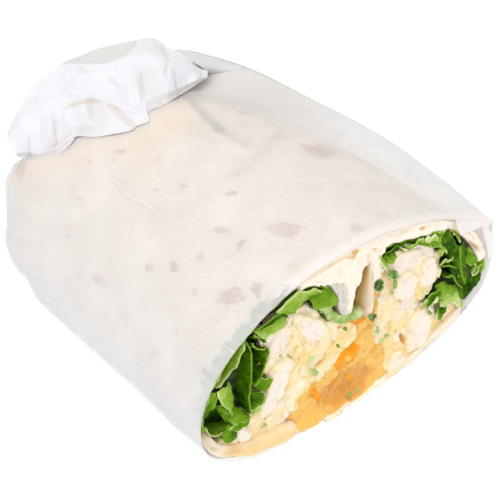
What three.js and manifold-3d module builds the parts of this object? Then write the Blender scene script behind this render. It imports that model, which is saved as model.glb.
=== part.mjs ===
// Half a chicken wrap, cut across and still in its thin white paper bag.
// Millimetres, +Z up. The cut face looks along -Y, +X is to the right of it,
// and the bag's crumpled end is folded over the top at the far (+Y) end.

import * as THREE from 'three';
import Module from 'manifold-3d';
import { mergeVertices } from 'three/addons/utils/BufferGeometryUtils.js';

const wasm = await Module();
wasm.setup();

// ------------------------------------------------------------ driving dimensions
const WRAP_LENGTH = 79; // cut face to rounded far end
const END_ROUNDING = 21; // stretch over which the far end closes
const END_EXPONENT = 2.2; // 2 is a round end, more is a blunter one
const LEAN = 10.5; // how far the far end lies to the left of the cut face
const NARROWING = 0.08; // share of its width that the wrap loses towards the far end
const LOWERING = 0.1; // share of its height that it loses
const MID_HEIGHT = 20; // the far end closes round this height
const BOTTOM = 0.4; // the flat underside of the tortilla, with the bag below it

const GAP = 0.3; // clearance between touching pieces
const PAPER = 0.4; // thickness of the bag's wall with its slight slack
const OVERHANG = 1.2; // how far the bag's mouth stands in front of the cut
const MOUTH_SETBACK = 2; // how far it stays behind the cut underneath
const FLOOR = BOTTOM - GAP - PAPER; // where the bag's underside rests
const PAST_FRONT = 5; // cutting bodies reach this far out in front
const RECESS = 4; // how far the tortilla's edge lies behind the lettuce at the left
const WALL_AT_END = 3; // thickness of the tortilla's closed far end

const OUTLINE_STEPS = 44; // points round the wrap
const BAG_STEPS = 56; // points round the bag

// Distances along the wrap where the section is set.
const FOOD_STATIONS = [0, 25, 48, 61, 69, 74];
const SHELL_STATIONS = [0, 12, 24, 36, 48];
const END_STEPS = 5;
const LAST_STATION = 0.985; // short of the tip, so that the end is a small flat

// ------------------------------------------------------------ outlines on the cut face
// Each is a list of [x, z] points, counter-clockwise as seen from the front.

const WRAP_OUTLINE = [
  [-37.2, 18.4], [-34.4, 9.6], [-26, 2.6], [-17, BOTTOM], [-2, BOTTOM], [13, BOTTOM], [22, 2.6],
  [33.2, 8.8], [37.4, 20], [32.8, 31.2], [24, 39.6], [11.2, 45], [-1.6, 46.8], [-14.4, 45.2], [-26.4, 39.2],
  [-34.8, 29.6],
];

// The wall is one layer of tortilla at the sides, two on top, and the coated
// inner end of the roll makes it thick at the bottom left.
const CAVITY_OUTLINE = [
  [-35.2, 18.4], [-32.6, 11.8], [-27, 7.8], [-20, 6], [-15, 4.6], [-10, 1.7], [4, 1.6], [13, 1.9],
  [21, 4.6], [31, 10], [35.2, 19.8], [32.2, 27.6], [26.8, 34.4], [18, 38.8], [8, 41.8], [-3, 43],
  [-14.2, 42.4], [-25.2, 37], [-32.9, 28.6],
];

// Inside the wrap the sheet turns down in a fold, whose two walls part below.
const FOLD_LEFT_WALL = [
  [-5, 44], [-5, 40.4], [-3.5, 36], [-2.5, 32], [-1.8, 28.6], [-0.5, 28], [-0.2, 31.4], [1.1, 36],
  [2.3, 40], [2.3, 44],
];
const FOLD_RIGHT_WALL = [
  [3, 44], [3, 40], [4.1, 36.2], [4.9, 33], [6.6, 33.4], [7.2, 35.6], [6.6, 38.2], [7.4, 41.2],
  [9, 44],
];
const FOLD_GAP = [
  [-0.5, 28], [1.5, 27], [4, 26.2], [4.6, 30], [4.9, 33], [4.1, 36.2], [3, 40], [2.3, 40],
  [1.1, 36], [-0.2, 31.4],
];
const FOLD_DEPTH = 42; // how far in the fold and its gap run

// At the left the lettuce reaches out past the tortilla's edge to the bag.
const RECESS_OUTLINE = [
  [-45, 13], [-33, 13], [-31, 28], [-24, 35], [-15, 40.5], [-14, 50], [-45, 50],
];

// The sheet's outer end stops short of the thick inner end, which leaves a notch.
const SEAM_NOTCH = [[-14, -2], [-10.4, -2], [-10.4, 0.4], [-13.4, 2.1]];
const SEAM_LENGTH = 58;

const CHUTNEY = [
  [-15.4, 6.4], [-13.6, 2.4], [-10, 0], [12, 0], [10.9, 4.8], [11, 8], [9.8, 10.5], [6.4, 15.4],
  [6.4, 23], [6.7, 29.8], [5.2, 32.2], [4.6, 28], [3.8, 24.2], [0.4, 25], [2, 20.4], [-1.2, 16.4],
  [-4.4, 12.7], [-9, 11.2],
];

const LETTUCE_LEFT = [
  [-38, 12], [-30.4, 10.6], [-28.8, 12.8], [-25, 14.1], [-22.6, 16.6], [-21.8, 20], [-20.2, 22.8],
  [-22.4, 26], [-21, 30], [-21.9, 34], [-23.2, 36.4], [-20, 35.4], [-16.5, 35.9], [-14.4, 37.9],
  [-11, 36.7], [-9.4, 34.8], [-6.6, 34], [-4.6, 34.8], [-8.4, 44], [-25, 44], [-38, 34],
];
const LETTUCE_RIB = [
  [-7.6, 43], [-6.4, 38], [-4.4, 34.4], [-4.3, 30.6], [-3.2, 27.6], [0, 25.6], [3.7, 24.5],
  [3.7, 25.8], [0.6, 27.2], [-1.6, 28.4], [-2.6, 32], [-3.6, 36], [-5, 40.4], [-5, 43],
];
const LETTUCE_RIGHT = [
  [7.6, 36.6], [9.8, 36.3], [10.4, 37.9], [15.2, 37.3], [18, 35.6], [20.8, 33.6], [22.8, 33.2],
  [20.9, 32.8], [22.4, 30.8], [24.4, 29.6], [23.1, 27.8], [24.2, 26], [24, 22.6], [21.2, 20.6],
  [18.9, 18.4], [20.6, 17.2], [22.2, 15.6], [23.8, 13.6], [25.2, 10.1], [26.9, 11.8], [27.6, 13.9],
  [29.4, 11.8], [31.2, 9], [38, 9], [38, 30], [26, 40], [8, 44],
];

// Chicken: each chunk's outline, how far it stands out of the cut and how long it is.
const CHUNKS = [
  { outline: [[-13.2, 34.2], [-12.6, 30.6], [-11.4, 27.6], [-8.6, 27], [-6.6, 28.8], [-7.2, 31.6],
    [-9.4, 33.8]], proud: 0.9, length: 27 },
  { outline: [[-20.2, 23.6], [-20.8, 18.6], [-21.6, 13.8], [-20.4, 10.6], [-18, 13], [-16.4, 17],
    [-15.4, 21.4], [-16.6, 24.6]], proud: 1.3, length: 31 },
  { outline: [[-28.6, 11.8], [-26.2, 8], [-24.4, 8.2], [-25.4, 11], [-26.4, 13]],
    proud: 0.5, length: 18 },
  { outline: [[-20.6, 33.4], [-20, 28], [-17, 26.6], [-14.9, 29.4], [-14.9, 33.6], [-17.2, 34.8]],
    proud: 0.6, length: 24 },
  { outline: [[8.4, 34.6], [8.6, 30.6], [11.4, 31.8], [16.6, 30.6], [18.4, 33.2], [14.4, 35.8],
    [10.6, 36.2]], proud: 0.4, length: 26 },
  { outline: [[10.8, 29.4], [10.4, 25.8], [12.2, 23.6], [15.4, 24.2], [16.2, 27.6], [14.4, 30.2]],
    proud: 1.1, length: 22 },
  { outline: [[19, 29.6], [18.4, 25], [20.4, 22.2], [23, 23.6], [22.8, 28], [21.2, 31]],
    proud: 0.7, length: 25 },
  { outline: [[16.9, 15], [16.6, 9.8], [18, 5.6], [21.6, 6.2], [22.6, 10.6], [22, 14.8],
    [19.6, 16]], proud: 1.4, length: 30 },
  { outline: [[12, 5.2], [11.9, 2.8], [14.6, 3], [16.4, 4.6], [15.2, 7.4], [13, 7.6]],
    proud: 1, length: 20 },
];
const CHUNK_BEVEL = 0.7;
const CHUTNEY_SINKS = 0.6; // behind the cut

// Curry mayonnaise with small shreds, one lobe on each side of the fold.
const FILLING_LEFT = [
  [-38, 4], [-14.6, 2], [-16, 6.6], [-9.3, 11.6], [-4.7, 13.1], [-1.6, 16.7], [1.5, 20.4],
  [-0.2, 24.8], [-3.6, 27], [-2, 29], [-3, 34], [-5.4, 44], [-25, 44], [-38, 34],
];
const FILLING_RIGHT = [
  [9, 0], [22, 2], [38, 10], [38, 30], [26, 40], [8, 43.4], [7.2, 41], [7, 38], [7.7, 35.4],
  [6.6, 33], [5.4, 32.6], [7.1, 30], [6.8, 23], [6.8, 15.6], [10.2, 10.7], [11.4, 8], [11.3, 4.8],
];

// The bag stands off the wrap's right side as a flat empty edge: its line in space.
const WING_LINE = [
  [36.6, -0.5, 32.8], [37.8, 15, 33], [36.8, 36, 33.2], [32.3, 52.2, 34], [24.5, 66.1, 38],
  [18.5, 73.4, 40], [15.2, 79.4, 40], [12, 83, 38],
];
const WING_FADES = [77, 86]; // distances between which it dies out into the far end
const POCKET_FADES = [44, 60]; // and between which its two layers come together
const WING_WALL = 1.2; // its rim is this much further in on the inside
const SLACK = 1.1; // how far the bag hangs off the wrap low on the right

// The crumpled end of the bag, folded forward over the top: its free edge on
// the wrap, its crest and the line where it comes down behind, from left to right.
const BUNCH_EDGE = [
  [-32, 74, 33], [-28, 67, 36], [-20, 62, 39], [-8, 58, 41], [3, 60, 41], [12, 64, 39],
];
const BUNCH_CREST = [
  [-32, 75, 40], [-26, 78, 44.5], [-16, 81, 48], [-1, 79, 50], [6, 73, 48], [13, 68, 43],
];
const BUNCH_BACK = [
  [-30, 79, 27], [-25, 83, 28], [-16, 85, 30], [-6, 85, 30], [4, 83, 32], [14, 80, 37],
];
const BUNCH_CORE = [[-24, 66, 22], [-6, 66, 22], [6, 64, 24]];
const BUNCH_STEPS = 12;
const CRUMPLE = 1.3; // how far the folds stand in and out
const PUFF = 2.4; // how far the crumpled paper bulges between those lines

const COLOURS = {
  paper: 0xf4f3f4,
  tortilla: 0xf2e2c8,
  filling: 0xfbe7b4,
  chicken: 0xf2e2d4,
  chutney: 0xe39a2a,
  lettuce: 0x3f7216,
  rib: 0xcdd8cc,
};

// ------------------------------------------------------------ how the wrap runs back
// Carries a point of the cut face back to the distance y. The section leans to
// the left, gets smaller, and closes like a superellipse over the last stretch.
function place(x, z, y, length = WRAP_LENGTH) {
  const t = Math.max(y, 0) / WRAP_LENGTH;
  const closing = Math.max(0, (y - (length - END_ROUNDING)) / END_ROUNDING);
  const open = Math.max(0, 1 - closing ** END_EXPONENT) ** (1 / END_EXPONENT);
  const height = 1 - LOWERING * t * t;
  const px = x * (1 - NARROWING * t * t) * open - LEAN * t ** 1.5;
  const pz = FLOOR + ((MID_HEIGHT - FLOOR) + (z - MID_HEIGHT) * open) * height;
  return new THREE.Vector3(px, y, pz);
}

function smooth(points, count) {
  const knots = points.map(([x, z]) => new THREE.Vector3(x, 0, z));
  const curve = new THREE.CatmullRomCurve3(knots, true, 'centripetal');
  return curve.getSpacedPoints(count).slice(0, count).map((p) => [p.x, p.z]);
}

// Moves every point of a counter-clockwise outline outwards (or inwards).
function grow(outline, distance) {
  const n = outline.length;
  return outline.map(([x, z], i) => {
    const before = new THREE.Vector2(...outline[(i + n - 1) % n]);
    const after = new THREE.Vector2(...outline[(i + 1) % n]);
    const here = new THREE.Vector2(x, z);
    const a = here.clone().sub(before).normalize();
    const b = after.clone().sub(here).normalize();
    const normal = new THREE.Vector2(a.y + b.y, -a.x - b.x).normalize();
    const stretch = 1 / Math.max(0.5, normal.dot(new THREE.Vector2(a.y, -a.x)));
    return [x + normal.x * distance * stretch, z + normal.y * distance * stretch];
  });
}

// ------------------------------------------------------------ closed meshes
// Joins a row of equal rings of points into a closed skin. The rings follow each
// other along y or x, and the first and last are filled in.
function skin(rings, along = 'y') {
  const count = rings[0].length;
  const position = rings.flat().flatMap((p) => [p.x, p.y, p.z]);
  const index = [];
  for (let ring = 0; ring < rings.length - 1; ring += 1) {
    for (let i = 0; i < count; i += 1) {
      const a = ring * count + i;
      const b = ring * count + (i + 1) % count;
      index.push(a, b, b + count, a, b + count, a + count);
    }
  }
  const fill = (ring, forwards) => {
    const flat = rings[ring].map((p) => new THREE.Vector2(along === 'y' ? p.x : -p.y, p.z));
    const start = ring * count;
    for (const [a, b, c] of THREE.ShapeUtils.triangulateShape(flat, [])) {
      if (forwards) index.push(start + a, start + c, start + b);
      else index.push(start + a, start + b, start + c);
    }
  };
  fill(0, true);
  fill(rings.length - 1, false);
  const geometry = new THREE.BufferGeometry();
  geometry.setAttribute('position', new THREE.Float32BufferAttribute(position, 3));
  geometry.setIndex(index);
  return geometry;
}

function toSolid(geometry) {
  const merged = mergeVertices(geometry, 1e-5);
  const solid = new wasm.Manifold(new wasm.Mesh({
    numProp: 3,
    vertProperties: new Float32Array(merged.attributes.position.array),
    triVerts: new Uint32Array(merged.index.array),
  }));
  return solid.volume() < 0 ? toSolid(flip(merged)) : solid;
}

function flip(geometry) {
  const turned = geometry.clone();
  const index = Array.from(geometry.index.array);
  for (let i = 0; i < index.length; i += 3) [index[i], index[i + 1]] = [index[i + 1], index[i]];
  turned.setIndex(index);
  return turned;
}

function largestPiece(solid) {
  return solid.decompose().sort((a, b) => b.volume() - a.volume())[0];
}

function toGeometry(solid) {
  const mesh = solid.getMesh();
  const geometry = new THREE.BufferGeometry();
  const position = new THREE.BufferAttribute(Float32Array.from(mesh.vertProperties), 3);
  geometry.setAttribute('position', position);
  geometry.setIndex(Array.from(mesh.triVerts));
  return geometry;
}

// ------------------------------------------------------------ lofts along the wrap
// A bar of food with the given outline, from one distance behind the cut to another.
function bar(outline, from, to) {
  const inside = FOOD_STATIONS.filter((y) => y > from + 1 && y < to - 1);
  const rings = [from, ...inside, to].map((y) => outline.map(([x, z]) => place(x, z, y)));
  return toSolid(skin(rings));
}

// Stations over the rounded end of a body of that length, closer together near its tip.
function endStations(length) {
  return Array.from({ length: END_STEPS + 1 }, (_, i) => {
    const share = Math.sin((Math.PI / 2) * Math.min(LAST_STATION, i / END_STEPS));
    return length - END_ROUNDING + END_ROUNDING * share;
  });
}

// A body that follows the wrap to its rounded end.
function roundedBody(outline, from, length) {
  const stations = [from, ...SHELL_STATIONS.slice(1), ...endStations(length)];
  return toSolid(skin(stations.map((y) => outline.map(([x, z]) => place(x, z, y, length)))));
}

// ------------------------------------------------------------ the pieces
const wrapOutline = smooth(WRAP_OUTLINE, OUTLINE_STEPS);
const cavityOutline = smooth(CAVITY_OUTLINE, OUTLINE_STEPS);
const FOOD_END = FOOD_STATIONS.at(-1);
const CAVITY_LENGTH = WRAP_LENGTH - WALL_AT_END;

function makeTortilla() {
  const outside = roundedBody(wrapOutline, 0, WRAP_LENGTH);
  const cavity = roundedBody(cavityOutline, -PAST_FRONT, CAVITY_LENGTH);
  const walls = bar(FOLD_LEFT_WALL, 0, FOLD_DEPTH).add(bar(FOLD_RIGHT_WALL, 0, FOLD_DEPTH));
  const notch = bar(SEAM_NOTCH, -PAST_FRONT, SEAM_LENGTH);
  const recess = bar(RECESS_OUTLINE, -PAST_FRONT, RECESS);
  return outside.subtract(cavity).add(walls).subtract(notch).subtract(recess);
}

// Food fits inside the tortilla, and each piece makes room for those made before it.
const roomAtLeft = bar(grow(wrapOutline, -GAP), -PAST_FRONT, RECESS - GAP)
  .intersect(bar(grow(RECESS_OUTLINE, -GAP), -PAST_FRONT, RECESS - GAP));
const roomInside = roundedBody(grow(cavityOutline, -GAP), -PAST_FRONT, CAVITY_LENGTH - 2 * GAP)
  .add(roomAtLeft);
const keepOut = [FOLD_LEFT_WALL, FOLD_RIGHT_WALL, FOLD_GAP].map((outline) => (
  bar(grow(outline, GAP), -PAST_FRONT, FOLD_DEPTH + GAP)
));

function makeFood(outline, from, to, bevel = 0) {
  let solid = bar(outline, from + bevel, to);
  if (bevel > 0) {
    const rings = [
      grow(outline, -bevel).map(([x, z]) => place(x, z, from)),
      outline.map(([x, z]) => place(x, z, from + bevel)),
    ];
    solid = solid.add(toSolid(skin(rings)));
  }
  solid = solid.intersect(roomInside);
  for (const other of keepOut) solid = solid.subtract(other);
  keepOut.push(bar(grow(outline, GAP), -PAST_FRONT, to + GAP));
  return largestPiece(solid);
}

// The mouth of the bag stands in front of the cut on top and at the left, is
// level with it at the right and lies behind it underneath. The share counts
// from the left side downwards and round to the top.
const { smoothstep, lerp } = THREE.MathUtils;
function mouth(share) {
  const left = lerp(-OVERHANG, MOUTH_SETBACK, smoothstep(share, 0.03, 0.12));
  const right = lerp(left, 0, smoothstep(share, 0.36, 0.45));
  return lerp(right, -OVERHANG, smoothstep(share, 0.58, 0.68));
}

function slack(share) {
  return SLACK * smoothstep(share, 0.36, 0.44) * (1 - smoothstep(share, 0.47, 0.53));
}

const WING_STEPS = 60;
const wing = new THREE.CatmullRomCurve3(WING_LINE.map((p) => new THREE.Vector3(...p)))
  .getPoints(WING_STEPS);
function wingAt(y) {
  const after = Math.max(1, wing.findIndex((p) => p.y >= y));
  const a = wing[after - 1];
  const b = wing[after];
  return a.clone().lerp(b, THREE.MathUtils.clamp((y - a.y) / (b.y - a.y), 0, 1));
}

const bagOutline = smooth(WRAP_OUTLINE, BAG_STEPS);

// One ring of the bag, standing off the tortilla by the given distance.
function bagRing(offset, y, isMouth, fades) {
  const loose = grow(bagOutline, offset + SLACK);
  const ring = grow(bagOutline, offset).map(([x, z], i) => {
    const share = i / BAG_STEPS;
    const out = slack(share) / SLACK;
    const station = isMouth ? mouth(share) : y;
    const low = Math.max(lerp(z, loose[i][1], out), BOTTOM - offset);
    return place(lerp(x, loose[i][0], out), low, station, WRAP_LENGTH + offset);
  });
  // The bag is taut over the wrap and out to the empty edge.
  const tip = wingAt(y);
  tip.x -= (WING_WALL * (GAP + PAPER - offset)) / PAPER;
  const angles = ring.map((p) => Math.atan2(p.z - tip.z, tip.x - p.x));
  const meets = angles.indexOf(Math.min(...angles));
  const leaves = angles.indexOf(Math.max(...angles));
  const fold = Math.round((meets + leaves) / 2);
  const kept = 1 - smoothstep(y, ...fades);
  const from = ring[meets].clone();
  const to = ring[leaves].clone();
  for (let i = meets + 1; i < leaves; i += 1) {
    const target = i < fold
      ? from.clone().lerp(tip, (i - meets) / (fold - meets))
      : tip.clone().lerp(to, (i - fold) / (leaves - fold));
    ring[i].x += (target.x - ring[i].x) * kept;
    ring[i].z += (target.z - ring[i].z) * kept;
  }
  return ring;
}

function bagRings(offset, fades) {
  const stations = [...SHELL_STATIONS.slice(1), ...endStations(WRAP_LENGTH + offset)];
  return [bagRing(offset, 0, true, fades), ...stations.map((y) => bagRing(offset, y, false, fades))];
}

function makeBunch() {
  const lines = [BUNCH_EDGE, BUNCH_CREST, BUNCH_BACK, BUNCH_CORE].map((points) => (
    new THREE.CatmullRomCurve3(points.map((p) => new THREE.Vector3(...p)))
  ));
  const rings = [];
  for (let i = 0; i <= BUNCH_STEPS; i += 1) {
    const [edge, crest, back, core] = lines.map((line) => line.getPoint(i / BUNCH_STEPS));
    const fold = CRUMPLE * (i % 2 ? 1 : -1);
    const slope = edge.clone().lerp(crest, 0.5).add(new THREE.Vector3(0, -fold, PUFF + fold));
    const rear = crest.clone().lerp(back, 0.5).add(new THREE.Vector3(0, PUFF - fold, 0));
    rings.push([edge, slope, crest, rear, back, core]);
  }
  return toSolid(skin(rings, 'x'));
}

function makeBag() {
  const outside = bagRings(GAP + PAPER, WING_FADES);
  const inside = bagRings(GAP, POCKET_FADES);
  const shell = toSolid(skin([...inside.toReversed(), ...outside]));
  const hollow = toSolid(skin(inside));
  return shell.add(makeBunch().subtract(hollow));
}

const material = (colour, roughness) => new THREE.MeshStandardMaterial({
  color: colour,
  roughness,
  metalness: 0,
});

const group = new THREE.Group();
function addPiece(name, solid, look) {
  const mesh = new THREE.Mesh(toGeometry(solid), look);
  mesh.name = name;
  group.add(mesh);
}

addPiece('paper', makeBag(), material(COLOURS.paper, 0.5));
addPiece('tortilla', makeTortilla(), material(COLOURS.tortilla, 0.75));
CHUNKS.forEach(({ outline, proud, length }, i) => {
  const chunk = makeFood(outline, -proud, length, CHUNK_BEVEL);
  addPiece(`chicken_${i + 1}`, chunk, material(COLOURS.chicken, 0.55));
});
addPiece('lettuce_left', makeFood(LETTUCE_LEFT, 0, FOOD_END), material(COLOURS.lettuce, 0.5));
addPiece('lettuce_rib', makeFood(LETTUCE_RIB, 0, FOOD_END), material(COLOURS.rib, 0.4));
addPiece('lettuce_right', makeFood(LETTUCE_RIGHT, 0, FOOD_END), material(COLOURS.lettuce, 0.5));
addPiece('chutney', makeFood(CHUTNEY, CHUTNEY_SINKS, FOOD_END), material(COLOURS.chutney, 0.25));
addPiece('filling_left', makeFood(FILLING_LEFT, 0, FOOD_END), material(COLOURS.filling, 0.35));
addPiece('filling_right', makeFood(FILLING_RIGHT, 0, FOOD_END), material(COLOURS.filling, 0.35));

// The origin lies on the ground, under the middle of the whole.
const box = new THREE.Box3().setFromObject(group);
const middle = box.getCenter(new THREE.Vector3());
group.position.set(-middle.x, -middle.y, -box.min.z);

export default group;
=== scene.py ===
"""Half a chicken wrap in its thin white paper bag, lying with its cut face to the front.

Places on the food are written as on the cut face: millimetres to the right of its middle
and above the ground, with the distance back along the wrap third. place() carries them
into the shared frame.
"""

import bisect
import math
import random

import bmesh
import bpy
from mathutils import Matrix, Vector, kdtree, noise
from mathutils.bvhtree import BVHTree
from mathutils.geometry import intersect_point_line


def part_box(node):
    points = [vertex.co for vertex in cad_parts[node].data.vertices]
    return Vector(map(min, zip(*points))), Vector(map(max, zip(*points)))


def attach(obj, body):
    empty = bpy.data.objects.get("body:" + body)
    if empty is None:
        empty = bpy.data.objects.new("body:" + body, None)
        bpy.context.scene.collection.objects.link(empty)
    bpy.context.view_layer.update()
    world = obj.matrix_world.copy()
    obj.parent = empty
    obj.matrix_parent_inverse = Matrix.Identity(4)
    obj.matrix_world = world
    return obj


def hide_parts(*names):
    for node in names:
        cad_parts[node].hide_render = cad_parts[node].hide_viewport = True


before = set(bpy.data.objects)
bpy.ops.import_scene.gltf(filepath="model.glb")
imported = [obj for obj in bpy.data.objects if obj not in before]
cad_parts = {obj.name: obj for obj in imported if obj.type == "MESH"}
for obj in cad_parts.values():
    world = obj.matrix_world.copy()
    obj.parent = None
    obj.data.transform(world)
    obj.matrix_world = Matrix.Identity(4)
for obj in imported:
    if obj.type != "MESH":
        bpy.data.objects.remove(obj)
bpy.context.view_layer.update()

MM = 0.001
draw = random.Random(11)

# ------------------------------------------------------------------ how the wrap runs back
WRAP_LENGTH = 79
END_ROUNDING = 21
END_EXPONENT = 2.2
LEAN = 10.5
NARROWING = 0.08
LOWERING = 0.1
MID_HEIGHT = 20
UNDERSIDE = -0.3
HALF_WIDTH = 37.4

tortilla_low, tortilla_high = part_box("tortilla")
ORIGIN = Vector((tortilla_high.x - HALF_WIDTH * MM, tortilla_low.y, -UNDERSIDE * MM))


def in_frame(x, y, z):
    """A point of the wrap's own frame (mm right, back and up) in the shared frame."""
    return Vector((x, y, z)) * MM + ORIGIN


# ------------------------------------------------------------------ camera
CAMERA_AT = in_frame(-124.3, -130.54, 217.27)
CAMERA_TARGET = in_frame(-9.37, 21.44, 34.54)
LENS = 95.4
SENSOR = 36
PHOTO_SIZE = 500

camera_data = bpy.data.cameras.new("camera")
camera_data.lens = LENS
camera_data.sensor_width = SENSOR
camera = bpy.data.objects.new("camera", camera_data)
camera.location = CAMERA_AT
looking = (CAMERA_TARGET - CAMERA_AT).to_track_quat("-Z", "Y")
camera.rotation_euler = looking.to_euler()
bpy.context.scene.collection.objects.link(camera)
bpy.context.scene.camera = camera
CAMERA_RIGHT = looking @ Vector((1, 0, 0))
CAMERA_UP = looking @ Vector((0, 1, 0))
UNTURNED = looking.inverted()


def ray_through(px, py):
    """The direction from the camera through a pixel of the 500 x 500 picture."""
    scale = SENSOR / LENS / PHOTO_SIZE
    middle = PHOTO_SIZE / 2
    return (looking @ Vector(((px - middle) * scale, (middle - py) * scale, -1))).normalized()


def seen_on(tree, px, py):
    """The point of a surface that shows at a pixel, or as far off beside its outline."""
    middle = PHOTO_SIZE / 2
    wanted = ray_through(px, py)
    while True:
        hit = tree.ray_cast(CAMERA_AT, ray_through(px, py))[0]
        if hit:
            return CAMERA_AT + wanted * (hit - CAMERA_AT).length
        px += (middle - px) * 0.01
        py += (middle - py) * 0.01


def at_depth(px, py, y):
    """The point that shows at a pixel, y mm behind the cut face."""
    ray = ray_through(px, py)
    return CAMERA_AT + ray * ((ORIGIN.y + y * MM - CAMERA_AT.y) / ray.y)


def seen_at(point):
    """The pixel a point shows at, and how far one pixel reaches there."""
    away = UNTURNED @ (point - CAMERA_AT)
    span = -away.z * SENSOR / LENS / PHOTO_SIZE
    return PHOTO_SIZE / 2 + away.x / span, PHOTO_SIZE / 2 - away.y / span, span


# How the wrap's left side sags and bulges: row of the photograph, where a plain side would
# stand, and how many pixels further right it really stands.
SIDE = [
    (140, 10, 0), (146, 16, -4), (152, 25, -11), (158, 34, -19), (164, 36, -23), (170, 31, -21),
    (176, 27, -20), (182, 23, -18), (188, 20, -15), (194, 16, -11), (200, 14, -8), (206, 11, -5),
    (212, 9, -3), (224, 5, 0), (242, 6, 0), (254, 7, 2), (260, 9, 3), (266, 10, 5), (272, 13, 6),
    (278, 16, 10), (284, 21, 9), (290, 25, 7), (296, 32, 3), (303, 40, 0), (330, 71, -2), (390, 137, -2),
    (414, 163, -4), (426, 178, -6), (438, 190, -4), (446, 199, -1),
]
SIDE_REACH = 60


def along(rows, value):
    """What belongs to a value of the first column, with even steps between the rows."""
    i = bisect.bisect_left(rows, (value,))
    if i in (0, len(rows)):
        return rows[min(i, len(rows) - 1)][1:]
    before, after = rows[i - 1], rows[i]
    share = (value - before[0]) / (after[0] - before[0])
    return [mixed(a, b, share) for a, b in zip(before[1:], after[1:])]


def place(x, z, y=0.0, length=WRAP_LENGTH):
    """A point of the cut face, carried back along the wrap by y mm."""
    t = max(y, 0) / WRAP_LENGTH
    closing = min(1, max(0, (y - (length - END_ROUNDING)) / END_ROUNDING))
    opening = max(0, 1 - closing ** END_EXPONENT) ** (1 / END_EXPONENT)
    height = 1 - LOWERING * t * t
    across = x * (1 - NARROWING * t * t) * opening - LEAN * t ** 1.5
    up = UNDERSIDE + ((MID_HEIGHT - UNDERSIDE) + (z - MID_HEIGHT) * opening) * height
    point = in_frame(across, y, up)
    px, py, span = seen_at(point)
    side, shift = along(SIDE, py)
    amount = shift * (1 - smoothstep(px - side, 0, SIDE_REACH)) * smoothstep(y, 1, 8)
    return point + CAMERA_RIGHT * amount * span


# ------------------------------------------------------------------ small tools for shapes
def smoothstep(value, low, high):
    share = min(1, max(0, (value - low) / (high - low)))
    return share * share * (3 - 2 * share)


def mixed(a, b, share):
    return a + (b - a) * share


class Line:
    """A smooth curve through the given points, walked by share of its length."""

    STEPS = 10

    def __init__(self, points, closed=False, straight=False):
        knots = [Vector(p) for p in points]
        if closed:
            knots = [knots[-1]] + knots + knots[:2]
        else:
            knots = [knots[0] * 2 - knots[1]] + knots + [knots[-1] * 2 - knots[-2]]
        steps = 1 if straight else self.STEPS
        self.points = []
        for i in range(1, len(knots) - 2):
            self.points += [self._between(knots[i - 1:i + 3], k / steps) for k in range(steps)]
        self.points.append(knots[-2])
        self.reach = [0.0]
        for a, b in zip(self.points, self.points[1:]):
            self.reach.append(self.reach[-1] + (b - a).length)
        self.length = self.reach[-1]

    @staticmethod
    def _between(knots, share):
        """Centripetal Catmull-Rom between the middle two of four points."""
        times = [0.0]
        for a, b in zip(knots, knots[1:]):
            times.append(times[-1] + max(1e-6, (b - a).length) ** 0.5)
        t = mixed(times[1], times[2], share)

        def blend(a, b, start, end):
            return a * ((end - t) / (end - start)) + b * ((t - start) / (end - start))

        first = [blend(knots[i], knots[i + 1], times[i], times[i + 1]) for i in range(3)]
        second = [blend(first[i], first[i + 1], times[i], times[i + 2]) for i in range(2)]
        return blend(second[0], second[1], times[1], times[2])

    def __call__(self, share):
        target = min(1, max(0, share)) * self.length
        i = min(len(self.points) - 1, max(1, bisect.bisect_left(self.reach, target)))
        span = self.reach[i] - self.reach[i - 1]
        part = (target - self.reach[i - 1]) / span if span > 0 else 0
        return self.points[i - 1].lerp(self.points[i], part)


def grown(points, distance):
    """A counter-clockwise outline moved outwards, or inwards where distance is negative."""
    moved = []
    for i, here in enumerate(points):
        before, after = points[i - 1], points[(i + 1) % len(points)]
        a = (Vector(here) - Vector(before)).normalized()
        b = (Vector(after) - Vector(here)).normalized()
        normal = Vector((a.y + b.y, -a.x - b.x)).normalized()
        stretch = 1 / max(0.5, normal.dot(Vector((a.y, -a.x))))
        moved.append(Vector(here) + normal * distance * stretch)
    return moved


def is_inside(x, z, outline):
    inside = False
    for (ax, az), (bx, bz) in zip(outline, outline[1:] + outline[:1]):
        if (az > z) != (bz > z) and x < ax + (z - az) / (bz - az) * (bx - ax):
            inside = not inside
    return inside


def off_line(x, y, points):
    """How far a place lies from a run of straight lines."""
    nearest = math.inf
    for (ax, ay), (bx, by) in zip(points, points[1:]):
        dx, dy = bx - ax, by - ay
        share = min(1, max(0, ((x - ax) * dx + (y - ay) * dy) / (dx * dx + dy * dy)))
        nearest = min(nearest, math.hypot(x - ax - dx * share, y - ay - dy * share))
    return nearest


def depth_inside(x, y, outline):
    """How far a place lies inside an outline, or with a minus sign outside it."""
    distance = off_line(x, y, outline + outline[:1])
    return distance if is_inside(x, y, outline) else -distance


def grid(across, along, shape, marks=None, closed=False):
    """A sheet: create_grid's points moved to shape(u, v), with marks kept as attributes."""
    bm = bmesh.new()
    bmesh.ops.create_grid(bm, x_segments=across, y_segments=along, size=0.5)
    layers = {name: bm.verts.layers.float.new(name) for name in marks or {}}
    for vert in bm.verts:
        u, v = vert.co.x + 0.5, vert.co.y + 0.5
        for name, layer in layers.items():
            vert[layer] = marks[name](u, v)
        vert.co = shape(u, v)
    if closed:
        bmesh.ops.remove_doubles(bm, verts=bm.verts, dist=1e-6)
        bmesh.ops.recalc_face_normals(bm, faces=bm.faces)
    return bm


def joined(parts):
    """One bmesh out of several."""
    whole = bmesh.new()
    for part in parts:
        mesh = bpy.data.meshes.new("part")
        part.to_mesh(mesh)
        part.free()
        whole.from_mesh(mesh)
        bpy.data.meshes.remove(mesh)
    return whole


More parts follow.
